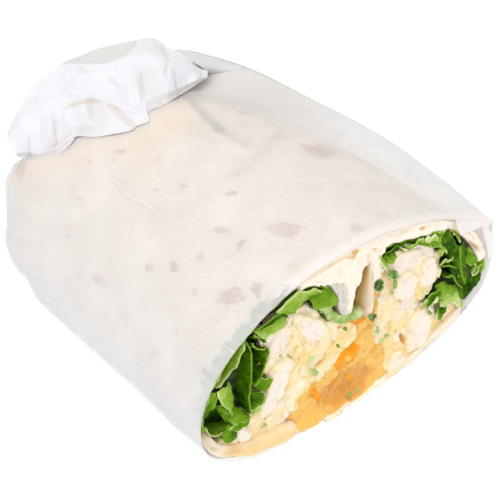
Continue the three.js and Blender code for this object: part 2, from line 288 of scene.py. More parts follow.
def prism(outline, front, back):
    """A closed bar of food with that outline on the cut face, from front to back along the wrap."""
    bm = bmesh.new()
    face = bm.faces.new([bm.verts.new((x, z, 0)) for x, z in outline])
    bmesh.ops.recalc_face_normals(bm, faces=[face])
    grown_part = bmesh.ops.extrude_face_region(bm, geom=[face])["geom"]
    rear = {item for item in grown_part if isinstance(item, bmesh.types.BMVert)}
    for vert in bm.verts:
        x, z, _ = vert.co
        vert.co = place(x, z, back if vert in rear else front)
    bmesh.ops.triangulate(bm, faces=bm.faces)
    bmesh.ops.recalc_face_normals(bm, faces=bm.faces)
    return bm


def blob(centre, radii, detail=2):
    """A lump of food round a point of the cut face, with its half sizes across, back and up."""
    bm = bmesh.new()
    bmesh.ops.create_icosphere(bm, subdivisions=detail, radius=1)
    middle = place(*centre)
    for vert in bm.verts:
        vert.co = middle + Vector(a * b for a, b in zip(vert.co, radii)) * MM
    return bm


def fused(parts, voxel):
    """Solids melted into one skin of even, small faces."""
    mesh = bpy.data.meshes.new("fused")
    whole = joined(parts)
    whole.to_mesh(mesh)
    whole.free()
    body = bpy.data.objects.new("fused", mesh)
    bpy.context.scene.collection.objects.link(body)
    remesh = body.modifiers.new("melt", "REMESH")
    remesh.mode = "VOXEL"
    remesh.voxel_size = voxel * MM
    bpy.context.view_layer.update()
    seen = body.evaluated_get(bpy.context.evaluated_depsgraph_get())
    bm = bmesh.new()
    bm.from_mesh(bpy.data.meshes.new_from_object(seen))
    bpy.data.objects.remove(body)
    return bm


def soften(bm, times):
    for _ in range(times):
        bmesh.ops.smooth_vert(bm, verts=bm.verts, factor=0.5, use_axis_x=True, use_axis_y=True,
                              use_axis_z=True)


def local(point):
    """A point of the shared frame as mm right, back and up of the cut face."""
    return (point - ORIGIN) / MM


def covered(x, z, patches):
    """How much oval patches of the cut face cover a place: x, z, half sizes, slant, amount."""
    total = 0
    for patch_x, patch_z, along, across, slant, amount in patches:
        dx, dz = x - patch_x, z - patch_z
        if abs(dx) + abs(dz) > 3 * max(along, across):
            continue
        turn = math.radians(slant)
        a = (dx * math.cos(turn) + dz * math.sin(turn)) / along
        b = (dz * math.cos(turn) - dx * math.sin(turn)) / across
        total += amount * math.exp(-(a * a + b * b) ** 1.4)
    return total


def facets(x, z, size, slant, seed):
    """Broken, tilted faces over the cut face: height, nearness of an edge, and a random tone."""
    turn = math.radians(slant)
    warp = noise.noise_vector(Vector((x, z, seed)) / size * 0.7) * size * 0.5
    x, z = x + warp.x, z + warp.y
    along = x * math.cos(turn) + z * math.sin(turn)
    across = z * math.cos(turn) - x * math.sin(turn)
    spot = Vector((along / size * 0.55, across / size, seed))
    distances, centres = noise.voronoi(spot)
    lean = noise.noise_vector(centres[0] * 3.1)
    height = noise.noise(centres[0] * 5.7) * 1.5 + lean.dot(spot - centres[0]) * 2.4
    edge = 1 - min(1, (distances[1] - distances[0]) * 4)
    return height, edge, noise.noise(centres[0] * 9.1)


def cut_slab(outline, start, voxel, height, back=9, spread=0.35):
    """The first mm of a filling, with its cut face raised by height(x, z) in mm."""
    line = Line(outline, closed=True)
    rounded = [line(i / 90) for i in range(90)]
    front = fused([prism(grown(rounded, spread), start, back)], voxel)
    soften(front, 4)
    for vert in front.verts:
        spot = local(vert.co)
        held = 1 - smoothstep(spot.y, start, start + 1.6)
        if held > 0:
            vert.co.y -= height(spot.x, spot.z) * held * MM
        nudge = noise.noise_vector(spot * 0.8) * 0.45 + noise.noise_vector(spot * 2.2) * 0.2
        vert.co += Vector((nudge.x, 0, nudge.z)) * MM
    return front


def piece(name, bm, finish, nodes=(), smooth=True):
    """Makes an object of a bmesh, with its finish, ties it to the CAD body and hides the CAD parts of the given nodes.
    """
    mesh = bpy.data.meshes.new(name)
    for face in bm.faces:
        face.smooth = smooth
    bm.to_mesh(mesh)
    bm.free()
    mesh.materials.append(finish)
    made = bpy.data.objects.new(name, mesh)
    bpy.context.scene.collection.objects.link(made)
    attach(made, "root")
    if nodes:
        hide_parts(*nodes)
    return made


def thicken(made, thickness, offset=-1.0, levels=0):
    """Gives a sheet its thickness in mm, and rounds it off."""
    wall = made.modifiers.new("wall", "SOLIDIFY")
    wall.thickness = thickness * MM
    wall.offset = offset
    wall.use_even_offset = False
    if levels:
        rounding = made.modifiers.new("rounding", "SUBSURF")
        rounding.levels = levels
        rounding.render_levels = levels


# ------------------------------------------------------------------ small tools for finishes
def colour(red, green, blue):
    """A colour as a screen shows it, 0 to 255, in linear light."""
    def linear(value):
        value /= 255
        return value / 12.92 if value <= 0.04045 else ((value + 0.055) / 1.055) ** 2.4
    return (linear(red), linear(green), linear(blue), 1.0)


class Signal:
    """A socket in a sum: each operator adds a Math node."""

    def __init__(self, finish, socket):
        self.finish = finish
        self.socket = socket

    def _math(self, operation, *values):
        return self.finish.node("Math", {"operation": operation}, dict(enumerate(values)))

    def __add__(self, other):
        return self._math("ADD", self, other)

    def __sub__(self, other):
        return self._math("SUBTRACT", self, other)

    def __rsub__(self, other):
        return self._math("SUBTRACT", other, self)

    def __mul__(self, other):
        return self._math("MULTIPLY", self, other)

    __radd__ = __add__
    __rmul__ = __mul__

    def clamped(self):
        return self.finish.node("Clamp", {}, {"Value": self})

    def stepped(self, low, high):
        settings = {"interpolation_type": "SMOOTHSTEP"}
        return self.finish.node("MapRange", settings, {"Value": self, "From Min": low, "From Max": high})


class Finish:
    """A material on one Principled BSDF, with patterns in millimetres of the shared frame."""

    def __init__(self, name, **constants):
        self.material = bpy.data.materials.new(name)
        self.material.use_nodes = True
        self.tree = self.material.node_tree
        self.shader = self.tree.nodes["Principled BSDF"]
        for key, value in constants.items():
            self.shader.inputs[key.replace("_", " ")].default_value = value
        place_node = self.node("TexCoord", {}, {}, "Object")
        self.millimetres = self.node("VectorMath", {"operation": "SCALE"}, {0: place_node, "Scale": 1000})

    def node(self, kind, settings=None, sockets=None, output=0):
        """Adds a node of that type, sets it, fills its sockets and returns one of its outputs."""
        made = self.tree.nodes.new("ShaderNode" + kind)
        for key, value in (settings or {}).items():
            if key == "stops":
                self._set_stops(made.color_ramp, value)
            else:
                setattr(made, key, value)
        for key, value in (sockets or {}).items():
            self.feed(made.inputs[key], value)
        return Signal(self, made.outputs[output])

    @staticmethod
    def _set_stops(ramp, stops):
        while len(ramp.elements) < len(stops):
            ramp.elements.new(1)
        for element, (position, value) in zip(ramp.elements, stops):
            element.position = position
            element.color = value

    def feed(self, socket, value):
        if isinstance(value, Signal):
            self.tree.links.new(value.socket, socket)
        else:
            socket.default_value = value

    def mark(self, name):
        return self.node("Attribute", {"attribute_name": name}, {}, "Fac")

    def stretched(self, x, y, z):
        return self.node("VectorMath", {"operation": "MULTIPLY"}, {0: self.millimetres, 1: (x, y, z)})

    def mottle(self, size, detail=3.0, roughness=0.5, where=None):
        """Soft noise whose patches are about size mm across, from 0 to 1."""
        sockets = {"Vector": where or self.millimetres, "Scale": 1 / size, "Detail": detail,
                   "Roughness": roughness}
        return self.node("TexNoise", {}, sockets, 0)

    def mix(self, share, a, b):
        return self.node("Mix", {"data_type": "RGBA"}, {0: share, 6: a, 7: b}, 2)

    def ramp(self, value, *stops):
        return self.node("ValToRGB", {"stops": stops}, {0: value})

    def bump(self, height, distance, strength=1.0, under=None):
        sockets = {"Height": height, "Distance": distance * MM, "Strength": strength}
        if under:
            sockets["Normal"] = under
        return self.node("Bump", {}, sockets)

    def wear(self, **sockets):
        """Links patterns to the shader's sockets."""
        for key, value in sockets.items():
            self.feed(self.shader.inputs[key.replace("_", " ")], value)
        return self.material


# ------------------------------------------------------------------ finishes
def tortilla_finish():
    finish = Finish("tortilla", Roughness=0.75, Specular_IOR_Level=0.15)
    broad = finish.mottle(12, 3)
    medium = finish.mottle(4.0, 5, 0.65)
    fine = finish.mottle(1.0, 5, 0.7)
    dough = finish.mix(broad.stepped(0.35, 0.65), colour(243, 229, 210), colour(238, 218, 188))
    dough = finish.mix(medium.stepped(0.46, 0.7) * 0.7, dough, colour(228, 200, 166))
    dough = finish.mix(fine.stepped(0.45, 0.7) * 0.55, dough, colour(247, 239, 227))
    dough = finish.mix(finish.mark("warm").clamped(), dough, colour(250, 212, 148))
    edges = finish.mottle(0.9, 5, 0.7)
    toast = (finish.mark("toast") + (edges - 0.5) * 3.2).stepped(0.38, 0.6)
    browned = finish.mix(finish.mottle(0.8, 3).stepped(0.4, 0.6), colour(206, 108, 0), colour(172, 98, 12))
    skin = finish.mix(toast, dough, browned)
    freckles = finish.mottle(2.2, 5, 0.7).stepped(0.64, 0.72)
    skin = finish.mix(freckles * 0.5, skin, colour(214, 158, 104))
    skin = finish.mix(finish.mark("shade").clamped(), skin, colour(150, 112, 22))
    skin = finish.mix(finish.mark("crumb").clamped(), skin, colour(254, 245, 231))
    skin = finish.mix(finish.mark("sauce").clamped(), skin, colour(246, 217, 160))
    # Scorches on the cut edge, with painted shade lines among them.
    scorch_and_shade_share = (finish.mark("scorch") + (fine - 0.5) * 0.8).stepped(0.25, 0.8)
    skin = finish.mix(scorch_and_shade_share * 0.9, skin, colour(228, 182, 108))
    # Painted shade in light brown: inner edges of the ring, the hidden side of the fold and the left of the yellow
    # block.
    skin = finish.mix(finish.mark("tan").clamped(), skin, colour(176, 134, 72))
    relief = fine * 0.5 + medium * 0.8
    return finish.wear(Base_Color=skin, Normal=finish.bump(relief, 0.35, 0.6))


def paper_finish(name, alpha, tint, light_tint):
    """Thin white glassine: see-through where it lies on something, with fine creases."""
    finish = Finish(name, Roughness=0.45, Specular_IOR_Level=0.3)
    fibres = finish.mottle(0.7, 4, 0.6)
    clouds = finish.mottle(9, 3)
    warped = finish.node("VectorMath", {"operation": "MULTIPLY_ADD"},
                         {0: finish.node("TexNoise", {}, {"Vector": finish.millimetres, "Scale": 1 / 9}, 1),
                          1: (9, 9, 9), 2: finish.millimetres})
    creases = finish.node("TexVoronoi", {"feature": "DISTANCE_TO_EDGE"}, {"Vector": warped, "Scale": 1 / 14}, 0)
    ridges = 1 - creases.stepped(0.0, 0.03)
    base = finish.mix(clouds.stepped(0.3, 0.7), tint, light_tint)
    base = finish.mix(finish.mark("thin").clamped(), base, colour(229, 219, 210))
    # Painted shade: paper turned away from the light, and the far empty edge, greyed.
    base = finish.mix(finish.mark("grey").clamped(), base, colour(221, 221, 218))
    height = finish.node("SeparateXYZ", {}, {"Vector": finish.millimetres}, 2)
    low = 1 - height.stepped(6, 46)
    base = finish.mix(low * 0.8, base, colour(244, 245, 249))
    # The folded mouth edge is whiter, denser paper; the same mark paints light on the far empty edge and the fine
    # folds.
    hem = finish.mark("hem").clamped()
    base = finish.mix(hem, base, colour(253, 247, 243))
    cover = (clouds - 0.5) * 0.14 + (fibres - 0.5) * 0.14 + low * 0.2 + alpha + hem * 0.3
    relief = fibres * 0.12 + clouds * 0.8 + ridges * 0.12
    return finish.wear(Base_Color=base, Alpha=cover.clamped(), Normal=finish.bump(relief, 0.5, 0.4))


def leaf_finish():
    finish = Finish("lettuce", Roughness=0.55, Specular_IOR_Level=0.04)
    veins = finish.node("TexVoronoi", {"feature": "DISTANCE_TO_EDGE"},
                        {"Vector": finish.millimetres, "Scale": 1 / 2.2}, 0)
    vein = 1 - veins.stepped(0.0, 0.08)
    blotches = finish.mottle(1.5, 4, 0.65)
    clouds = finish.mottle(4.5, 2)
    # Tone sets each leaf's lightness: its own green together with painted light and shade for where it lies.
    tone = finish.mark("tone") + (blotches - 0.5) * 0.3 + (clouds - 0.5) * 0.35
    tone = tone + finish.mark("rim") * 0.36 + vein * 0.11
    green = finish.ramp(
        tone.clamped(),
        (0.0, colour(14, 30, 0)), (0.15, colour(42, 80, 0)), (0.34, colour(88, 134, 8)),
        (0.55, colour(132, 170, 44)), (0.78, colour(182, 204, 108)), (1.0, colour(220, 230, 180)),
    )
    relief = blotches * 0.6 + vein * 0.5
    return finish.wear(Base_Color=green, Normal=finish.bump(relief, 0.35, 0.6))


# Near-black green for the core behind the leaves: painted shade of the depths between them.
def depths_shade_finish():
    finish = Finish("lettuce_depths", Roughness=0.6, Specular_IOR_Level=0.2)
    green = finish.mix(finish.mottle(2.2, 3).stepped(0.4, 0.65), colour(14, 30, 4), colour(58, 92, 22))
    return finish.wear(Base_Color=green)


def rib_finish():
    finish = Finish("rib", Roughness=0.4, Specular_IOR_Level=0.25)
    streaks = finish.mottle(1.0, 3, 0.5, finish.stretched(1.6, 1, 0.5))
    pale = finish.mix(streaks.stepped(0.35, 0.65), colour(204, 198, 186), colour(228, 220, 211))
    leafy = finish.mix(finish.mottle(1.8, 3, 0.5).stepped(0.4, 0.65), colour(150, 182, 88), colour(206, 216, 152))
    shade = finish.mix(finish.mark("tone").clamped(), pale, leafy)
    return finish.wear(Base_Color=shade, Normal=finish.bump(streaks, 0.3, 0.5))


def filling_finish():
    finish = Finish("filling", Roughness=0.4, Specular_IOR_Level=0.25, Subsurface_Weight=0.2,
                    Subsurface_Radius=(1.0, 0.6, 0.3), Subsurface_Scale=0.001)
    patches = finish.mottle(3.2, 4, 0.6)
    flecks = finish.mottle(0.8, 4, 0.65)
    tone = finish.mark("pale") + (patches - 0.5) * 1.1 + (flecks - 0.5) * 0.3
    cream = finish.ramp(
        tone.clamped(),
        (0.0, colour(253, 221, 152)), (0.35, colour(252, 230, 182)), (0.65, colour(250, 235, 206)),
        (1.0, colour(248, 236, 220)),
    )
    # Painted shade: hollows of the cut face turn a deeper yellow.
    hollow = (finish.mark("hollow") + (patches - 0.5) * 0.3).stepped(0.15, 0.8)
    hollow_shaded = finish.mix(hollow * 0.6, cream, colour(247, 208, 130))
    # Orange-brown crevices, partly painted shadow along the lettuce and under the strand.
    crevice = (finish.mark("crevice") + (flecks - 0.5) * 0.4).stepped(0.2, 0.85)
    sauce = finish.mix(crevice * 0.85, hollow_shaded, colour(232, 170, 74))
    return finish.wear(Base_Color=sauce, Normal=finish.bump(flecks + patches * 0.6, 0.3, 0.5))


def chicken_finish():
    finish = Finish("chicken", Roughness=0.42, Specular_IOR_Level=0.25, Subsurface_Weight=0.2,
                    Subsurface_Radius=(1.0, 0.55, 0.4), Subsurface_Scale=0.0012)
    fibres = finish.mottle(0.9, 4, 0.6, finish.stretched(2.2, 0.6, 0.7))
    clouds = finish.mottle(3.5, 2)
    meat = finish.mix(clouds.stepped(0.35, 0.7), colour(248, 235, 224), colour(246, 230, 214))
    meat = finish.mix(fibres.stepped(0.5, 0.75) * 0.5, meat, colour(254, 247, 240))
    rim = (finish.mark("rim") + (clouds - 0.5) * 0.8).stepped(0.2, 0.9)
    meat = finish.mix(rim * 0.8, meat, colour(253, 234, 198))
    return finish.wear(Base_Color=meat, Normal=finish.bump(fibres + clouds * 0.5, 0.25, 0.6))


def chutney_finish():
    finish = Finish("chutney", Roughness=0.3, Specular_IOR_Level=0.2, Subsurface_Weight=0.2,
                    Subsurface_Radius=(1.0, 0.45, 0.1), Subsurface_Scale=0.0015)
    patches = finish.mottle(3.2, 3)
    grains = finish.mottle(0.7, 3, 0.6)
    amber = finish.mix((finish.mark("low") + (patches - 0.5) * 0.8).stepped(0.3, 0.7),
                       colour(245, 196, 98), colour(226, 160, 72))
    amber = finish.mix(grains.stepped(0.45, 0.65) * 0.5, amber, colour(230, 184, 124))
    deep = (finish.mark("deep") + (patches - 0.5) * 0.6).stepped(0.3, 0.7)
    jelly = finish.mix(deep, amber, colour(246, 158, 0))
    lip = (finish.mark("lip") + (patches - 0.5) * 1.2).stepped(0.35, 0.75)
    jelly = finish.mix(lip, jelly, colour(252, 238, 212))
    return finish.wear(Base_Color=jelly, Normal=finish.bump(patches + grains * 0.3, 0.4, 0.5))


def herb_finish():
    finish = Finish("herbs", Roughness=0.4, Specular_IOR_Level=0.4)
    tone = finish.mark("tone") + (finish.mottle(0.7, 3) - 0.5) * 0.5
    green = finish.ramp(tone.clamped(), (0.0, colour(48, 86, 20)), (0.5, colour(138, 176, 80)),
                        (1.0, colour(214, 224, 164)))
    return finish.wear(Base_Color=green)


# ------------------------------------------------------------------ outlines on the cut face
WRAP_OUTLINE = [
    (-37.2, 18.4), (-34.4, 9.8), (-26, 3.4), (-17, 1.1), (-2, 0.4), (13, 0.4), (22, 2.6), (33.2, 8.8),
    (37.4, 20), (32.8, 31.2), (24, 39.6), (11.2, 45), (-1.6, 46.8), (-14.4, 45.2), (-26.4, 39.2),
    (-34.8, 29.6),
]
CAVITY_OUTLINE = [
    (-35.2, 18.4), (-32.6, 11.8), (-27, 7.8), (-20, 6), (-16, 5), (-14, 4.4), (-13.2, 3), (-12.8, 1.5), (-9, 1.3), (4, 1.4), (13, 1.9),
    (21, 4.6), (31, 10), (35.2, 19.8), (32.2, 27.6), (26.8, 34.4), (18, 38.8), (8, 41.8), (-3, 43),
    (-14.2, 42.4), (-25.2, 37), (-32.9, 28.6),
]
wrap_line = Line(WRAP_OUTLINE, closed=True)
cavity_line = Line(CAVITY_OUTLINE, closed=True)

# ------------------------------------------------------------------ tortilla
RECESS = 2.4
TORTILLA_AROUND = 320
CAVITY_DEPTH = 34
SKIN_MARKS = ("toast", "warm", "shade", "tan", "sauce", "scorch", "crumb")
# Brown spots: place in the photograph, then size across and up in mm, and strength.
SPOTS = [
    (320, 151, 4.2, 1.9, 1.0), (284, 230, 3.4, 1.7, 1.1), (220, 230, 1.8, 0.9, 1.0),
    (230, 297, 2.6, 1.9, 1.1), (257, 290, 1.0, 1.7, 0.85), (357, 229, 1.8, 1.3, 0.8),
    (232, 193, 1.6, 0.7, 0.95), (241, 244, 0.9, 1.3, 0.9), (200, 257, 1.1, 0.8, 0.95),
    (228, 259, 0.9, 0.5, 0.8), (174, 267, 1.1, 1.2, 1.0), (149, 268, 1.4, 1.0, 0.85),
    (98, 279, 1.4, 1.7, 1.0), (194, 292, 1.1, 1.2, 0.5), (216, 320, 1.2, 1.0, 0.5),
    (177, 330, 1.2, 1.5, 0.6), (129, 322, 1.3, 1.3, 0.5), (152, 354, 1.5, 1.4, 0.55),
    (20, 170, 1.6, 1.7, 1.1), (19, 243, 1.2, 1.2, 0.8), (66, 231, 1.5, 1.2, 0.5),
    (80, 199, 0.7, 0.7, 0.95), (103, 201, 0.4, 0.4, 0.8), (130, 217, 0.5, 0.5, 0.8), (72, 162, 0.8, 0.6, 0.9), (121, 151, 1.4, 0.5, 1.0),
    (154, 191, 1.1, 0.8, 0.8), (183, 186, 1.1, 0.7, 0.85), (159, 159, 1.3, 0.8, 0.5),
    (244, 113, 1.8, 0.8, 0.7), (253, 141, 1.4, 1.0, 0.5), (90, 162, 1.2, 0.7, 0.6),
    (232, 163, 0.9, 0.9, 0.35), (300, 128, 1.2, 0.8, 0.4), (382, 214, 1.0, 0.8, 0.45),
]
# Grooves of the rolled sheet under the paper: line in the photograph, then half width, depth
# and darkness.
PRESSED = [
    ([(179, 88), (187, 96), (196, 105), (206, 115), (220, 128)], 0.9, 0.5, 2),
    ([(219, 128), (231, 134), (246, 143)], 1.2, 0.7, 0.5),
    ([(278, 134), (264, 148), (252, 163), (242, 170), (232, 174)], 0.9, 0.5, 0.35),
    ([(206, 100), (205, 118), (197, 132), (192, 146)], 2.2, 0.2, 0.02),
    ([(201, 79), (209, 84), (218, 88), (228, 95)], 0.7, 0.6, 0.2), ([(214, 99), (222, 101), (232, 103)], 0.7, 0.5, 0.15),
]
# Yellow, oily patches: place in the photograph, half sizes across and up in mm, strength.
WARM = [
    (165, 122, 9, 5, 0.9), (185, 102, 6, 3.5, 0.8), (112, 142, 11, 3, 0.7), (60, 162, 9, 3, 0.7),
    (24, 172, 4, 3, 0.8), (225, 92, 8, 2.4, 0.5), (140, 160, 10, 5, 0.35),
]


def tortilla_stations():
    """Rings of the skin: distance back, share from the outer to the inner outline, ring or tip."""
    rings = []
    steps = 16
    for i in range(steps):
        bend = math.sin(math.pi / 2 * i / steps)
        rings.append((WRAP_LENGTH - END_ROUNDING * (1 - bend), 0.0, 1.0))
    rings.append((WRAP_LENGTH, 0.0, 1.0))
    rings.reverse()
    straight = 74
    for i in range(1, straight):
        rings.append(((WRAP_LENGTH - END_ROUNDING) * (1 - i / straight), 0.0, 1.0))
    rings += [(0.35, 0.0, 1.0), (0.12, 0.07, 1.0), (0.0, 0.18, 1.0), (0.1, 0.28, 1.0), (0.25, 0.36, 1.0)]
    rings += [(0.1, 0.44, 1.0), (0.0, 0.55, 1.0), (0.0, 0.68, 1.0)]
    rings += [(0.0, 0.8, 1.0), (0.12, 0.93, 1.0), (0.35, 1.0, 1.0), (1, 1, 1), (2, 1, 1), (4, 1, 1)]
    rings += [(8, 1, 1), (14, 1, 1), (22, 1, 1), (CAVITY_DEPTH, 1, 1), (CAVITY_DEPTH, 1, 0)]
    return rings


def tortilla_skin():
    rings = tortilla_stations()
    last = len(rings) - 1

    def shape(u, v):
        y, inward, ring = rings[round(v * last)]
        outer, inner = wrap_line(u), cavity_line(u)
        spot = outer.lerp(inner, inward)
        held = RECESS * smoothstep(-spot.x, 13.6, 15) * smoothstep(spot.y, 15.6, 17.6)
        held += 1.6 * smoothstep(spot.x, 31.5, 33.5) * (1 - smoothstep(spot.y, 20, 22))
        held *= 1 + 0.7 * noise.noise(Vector((spot.x, spot.y, 9)) * 0.35)
        held *= 1 + 0.8 * noise.noise(Vector((spot.x, spot.y, 4)) * 1.1)
        depth = y + held * (1 - smoothstep(y, 0, 12))
        if not ring:
            spot = Vector((0, MID_HEIGHT))
        point = place(spot.x, spot.y, depth)
        rough = noise.noise(Vector((spot.x, spot.y, 3)) * 0.55)
        if y < 0.5:
            block = smoothstep(spot.x, -30, -27) * (1 - smoothstep(spot.x, -14.8, -14))
            point.y += (rough * 0.5 - block * (1 - smoothstep(spot.y, 6, 9)) * 0.5) * MM
        return point

    blank = {name: (lambda u, v: 0.0) for name in SKIN_MARKS}
    return grid(TORTILLA_AROUND, last, shape, blank, True)


def stain_cut(bm):
    """Marks the sauce, the scorches with painted shade lines among them, and painted brown shade on the cut edge."""
    for name, patches in (("sauce", SAUCED), ("scorch", SCORCHED_AND_SHADED), ("tan", SHADED)):
        layer = bm.verts.layers.float.get(name) or bm.verts.layers.float.new(name)
        for vert in bm.verts:
            spot = local(vert.co)
            if spot.y < 5:
                vert[layer] = max(vert[layer], covered(spot.x, spot.z, patches))


def toast_and_groove(bm):
    """Marks the brown spots on the skin and presses the groove into it."""
    bm.normal_update()
    tree = BVHTree.FromBMesh(bm)
    toast, warm, shade = (bm.verts.layers.float[name] for name in ("toast", "warm", "shade"))
    near = kdtree.KDTree(len(bm.verts))
    verts = list(bm.verts)
    for i, vert in enumerate(verts):
        near.insert(vert.co, i)
    near.balance()
    for px, py, across, up, strength in SPOTS:
        centre = seen_on(tree, px, py)
        for co, i, _ in near.find_range(centre, 3 * max(across, up) * MM):
            off = co - centre
            reach = (off.dot(CAMERA_RIGHT) / across) ** 2 + (off.dot(CAMERA_UP) / up) ** 2
            verts[i][toast] += strength * math.exp(-1.1 * reach / MM ** 2)
    for _ in range(60):
        centre = place(*wrap_line(draw.random()), draw.uniform(2, 74))
        towards = tree.ray_cast(CAMERA_AT, (centre - CAMERA_AT).normalized())[0]
        if towards is not None and (towards - centre).length < 3 * MM:
            continue
        size = draw.uniform(0.8, 2.6)
        strength = draw.uniform(0.4, 0.9)
        for co, i, distance in near.find_range(centre, 3 * size * MM):
            verts[i][toast] += strength * math.exp(-1.1 * (distance / (size * MM)) ** 2)
    for px, py, across, up, strength in WARM:
        centre = seen_on(tree, px, py)
        for co, i, _ in near.find_range(centre, 2 * max(across, up) * MM):
            off = co - centre
            reach = (off.dot(CAMERA_RIGHT) / across) ** 2 + (off.dot(CAMERA_UP) / up) ** 2
            verts[i][warm] += strength * math.exp(-1.6 * reach / MM ** 2)
    for line, width, depth, amount in PRESSED:
        press(near, verts, [seen_on(tree, px, py) for px, py in line], width, depth, amount, shade)


def press(near, verts, line, width, depth, darkness, shade):
    """Presses a groove along a line into the skin and shades it."""
    pressed = {}
    for a, b in zip(line, line[1:]):
        for co, i, _ in near.find_range((a + b) / 2, (b - a).length + 4 * MM):
            foot, share = intersect_point_line(co, a, b)
            if -0.2 <= share <= 1.2:
                distance = (co - foot).length / MM
                pressed[i] = max(pressed.get(i, 0), math.exp(-(distance / width) ** 2))
    for i, amount in pressed.items():
        verts[i].co -= verts[i].normal * amount * depth * MM
        verts[i][shade] = max(verts[i][shade], amount * darkness)


# The fold that turns down inside the wrap: its two walls, the thick layers left of it, and the
# inner face seen between the walls, from its hidden side to the one that meets the cut. That inner
# face is painted with light brown shade, darkest on its hidden side.
FOLD_LEFT_WALL = [
    (-4.4, 44), (-3.6, 40.6), (-2.6, 37), (-1.9, 33), (-1.4, 29.4), (-0.7, 28), (-0.1, 29), (0.2, 32),
    (1.2, 36), (2.4, 40), (2.4, 44),
]
FOLD_RIGHT_WALL = [
    (3, 44), (3, 40), (4.1, 36.2), (4.9, 33), (6.6, 33.4), (7.2, 35.6), (6.4, 38.2), (6.4, 41.2), (9, 44),
]
FOLD_SHOULDER = [
    (-14.4, 44.6), (-13.4, 43.4), (-11, 42.4), (-8.6, 41), (-6.6, 39.7), (-3, 38.9), (-2, 44.6), (-8, 45.4),
]
FOLD_HIDDEN_EDGE = [(2.9, 40.4, 0.2), (3.2, 36.6, 1.4), (2.6, 31, 2.4), (2.4, 26, 2.6), (2.6, 23.4, 2.6)]
FOLD_MEETING_EDGE = [(3.2, 40.4, 0.1), (4.3, 35.8, 0.1), (5.1, 31.5, 0.2), (5.4, 27, 0.3), (5.2, 24.6, 0.4)]
FOLD_DEPTH = 42
# Sauce, scorches with painted shade lines among them, and painted brown shade on the cut edge of the sheet.
SAUCED = [
    (-20.6, 3.2, 9.6, 3.6, -15, 1.3), (-30, 8, 3, 2.4, -40, 0.7), (12.6, 1.2, 3.4, 1.8, 0, 0.6), (20.5, 3.2, 6, 1.4, 12, 0.3),
    (29, 7, 4, 1.6, 35, 0.2), (-8, 45.4, 6, 0.6, 0, 0.5),
]
SCORCHED_AND_SHADED = [
    (-0.6, 45.2, 0.9, 0.8, 0, 1.0), (-1.8, 44.6, 1.8, 0.4, -30, 0.8), (4, 43.5, 1.1, 0.5, -40, 0.9),
    (16.6, 41.8, 1.4, 0.5, -35, 1.0), (10, 44.3, 5, 0.3, -8, 0.6), (-8, 45.8, 5, 0.35, 0, 0.6),
    (-12.6, 45.4, 2, 0.4, 0, 0.5), (-10, 43.2, 2.6, 0.3, -20, 0.6), (-4, 42, 2.4, 0.3, 0, 0.6),
    (1, 42.6, 0.4, 2.4, 0, 0.5), (-29, 6.8, 1.6, 0.6, 30, 0.5),
]
SHADED = [
    (26.2, 35.2, 2.9, 0.5, -45, 1.1), (32.8, 27.6, 3.0, 0.45, -53, 0.9), (2.6, 42, 0.3, 2, 0, 0.3),
    (-29.8, 8.2, 2.8, 1.4, -35, 0.3), (-25.4, 6.6, 2.2, 0.8, -25, 0.2), (-34.4, 12.4, 2.8, 1.2, -55, 0.3), (-36, 16, 2.2, 1.4, -75, 0.35), (-16, 43.4, 2, 0.3, 20, 0.3),
]


def fold_wall(outline, front):
    """One wall of the fold that turns down inside the wrap."""
    line = Line(outline, closed=True)
    around = 48
    bar = prism([line(i / around) for i in range(around)], front, FOLD_DEPTH)
    return bar


def make_tortilla():
    finish = tortilla_finish()
    skin = tortilla_skin()
    toast_and_groove(skin)
    stain_cut(skin)
    crumb = skin.verts.layers.float["crumb"]
    for vert in skin.verts:
        vert[crumb] = 0.8 * (1 - smoothstep(local(vert.co).y, 0.1, 0.6))
    piece("tortilla_skin", skin, finish, ["tortilla"])
    walls = fused([fold_wall(part, 0.1) for part in (FOLD_LEFT_WALL, FOLD_RIGHT_WALL, FOLD_SHOULDER)], 0.36)
    soften(walls, 3)
    for vert in walls.verts:
        spot = local(vert.co)
        vert.co.y += noise.noise(Vector((spot.x * 0.9, spot.z * 0.35, spot.y * 0.2))) * 0.7 * MM
    hidden = Line([place(x, z, y) for x, z, y in FOLD_HIDDEN_EDGE])
    meeting = Line([place(x, z, y) for x, z, y in FOLD_MEETING_EDGE])
    # The lining's light brown is painted shade, darkest at its hidden edge and fading towards the cut.
    inner = grid(14, 30, lambda u, v: hidden(v).lerp(meeting(v), u) + Vector((0, -0.5 * MM * u * (1 - u), 0)),
                 {"tan": lambda u, v: 1.0 - smoothstep(u, 0.1, 0.9)})
    stain_cut(walls)
    crumb = walls.verts.layers.float.new("crumb")
    for vert in walls.verts:
        vert[crumb] = 0.8
    piece("tortilla_fold", walls, finish)
    lining = piece("tortilla_fold_lining", inner, finish)
    thicken(lining, 0.3, -1.0)


# ------------------------------------------------------------------ paper bag
GAP = 0.35
OVERHANG = 0.5
MOUTH_SETBACK = 2
SLACK = 1.1
WING_LINE = [
    (36.6, -0.5, 32.8), (37.3, 15, 33), (36.2, 36, 33.2), (32, 52.2, 34), (24.5, 66.1, 38),
    (18.5, 73.4, 40), (13.8, 79.8, 40.2), (10, 81.5, 39),
]
wing_line = Line(WING_LINE)
BAG_POINTS = 240
BAG_ARC = 220
BAG_WING = 24
WING_ENDS = 72
HEM_START = -17.2


def wing_tip(y):
    """The empty edge's outermost point in the section at y, in the wrap's own frame."""
    low, high = 0.0, 1.0
    for _ in range(24):
        middle = (low + high) / 2
        if wing_line(middle).y < y:
            low = middle
        else:
            high = middle
    return wing_line(low)


def mouth(share):
    """How far back the bag's mouth stands, counted from the left side downwards and round."""
    left = mixed(-OVERHANG, MOUTH_SETBACK, smoothstep(share, 0.03, 0.12))
    right = mixed(left, 0, smoothstep(share, 0.36, 0.45))
    return mixed(right, -OVERHANG, smoothstep(share, 0.58, 0.68))


def slack(share):
    return smoothstep(share, 0.36, 0.44) * (1 - smoothstep(share, 0.47, 0.53))


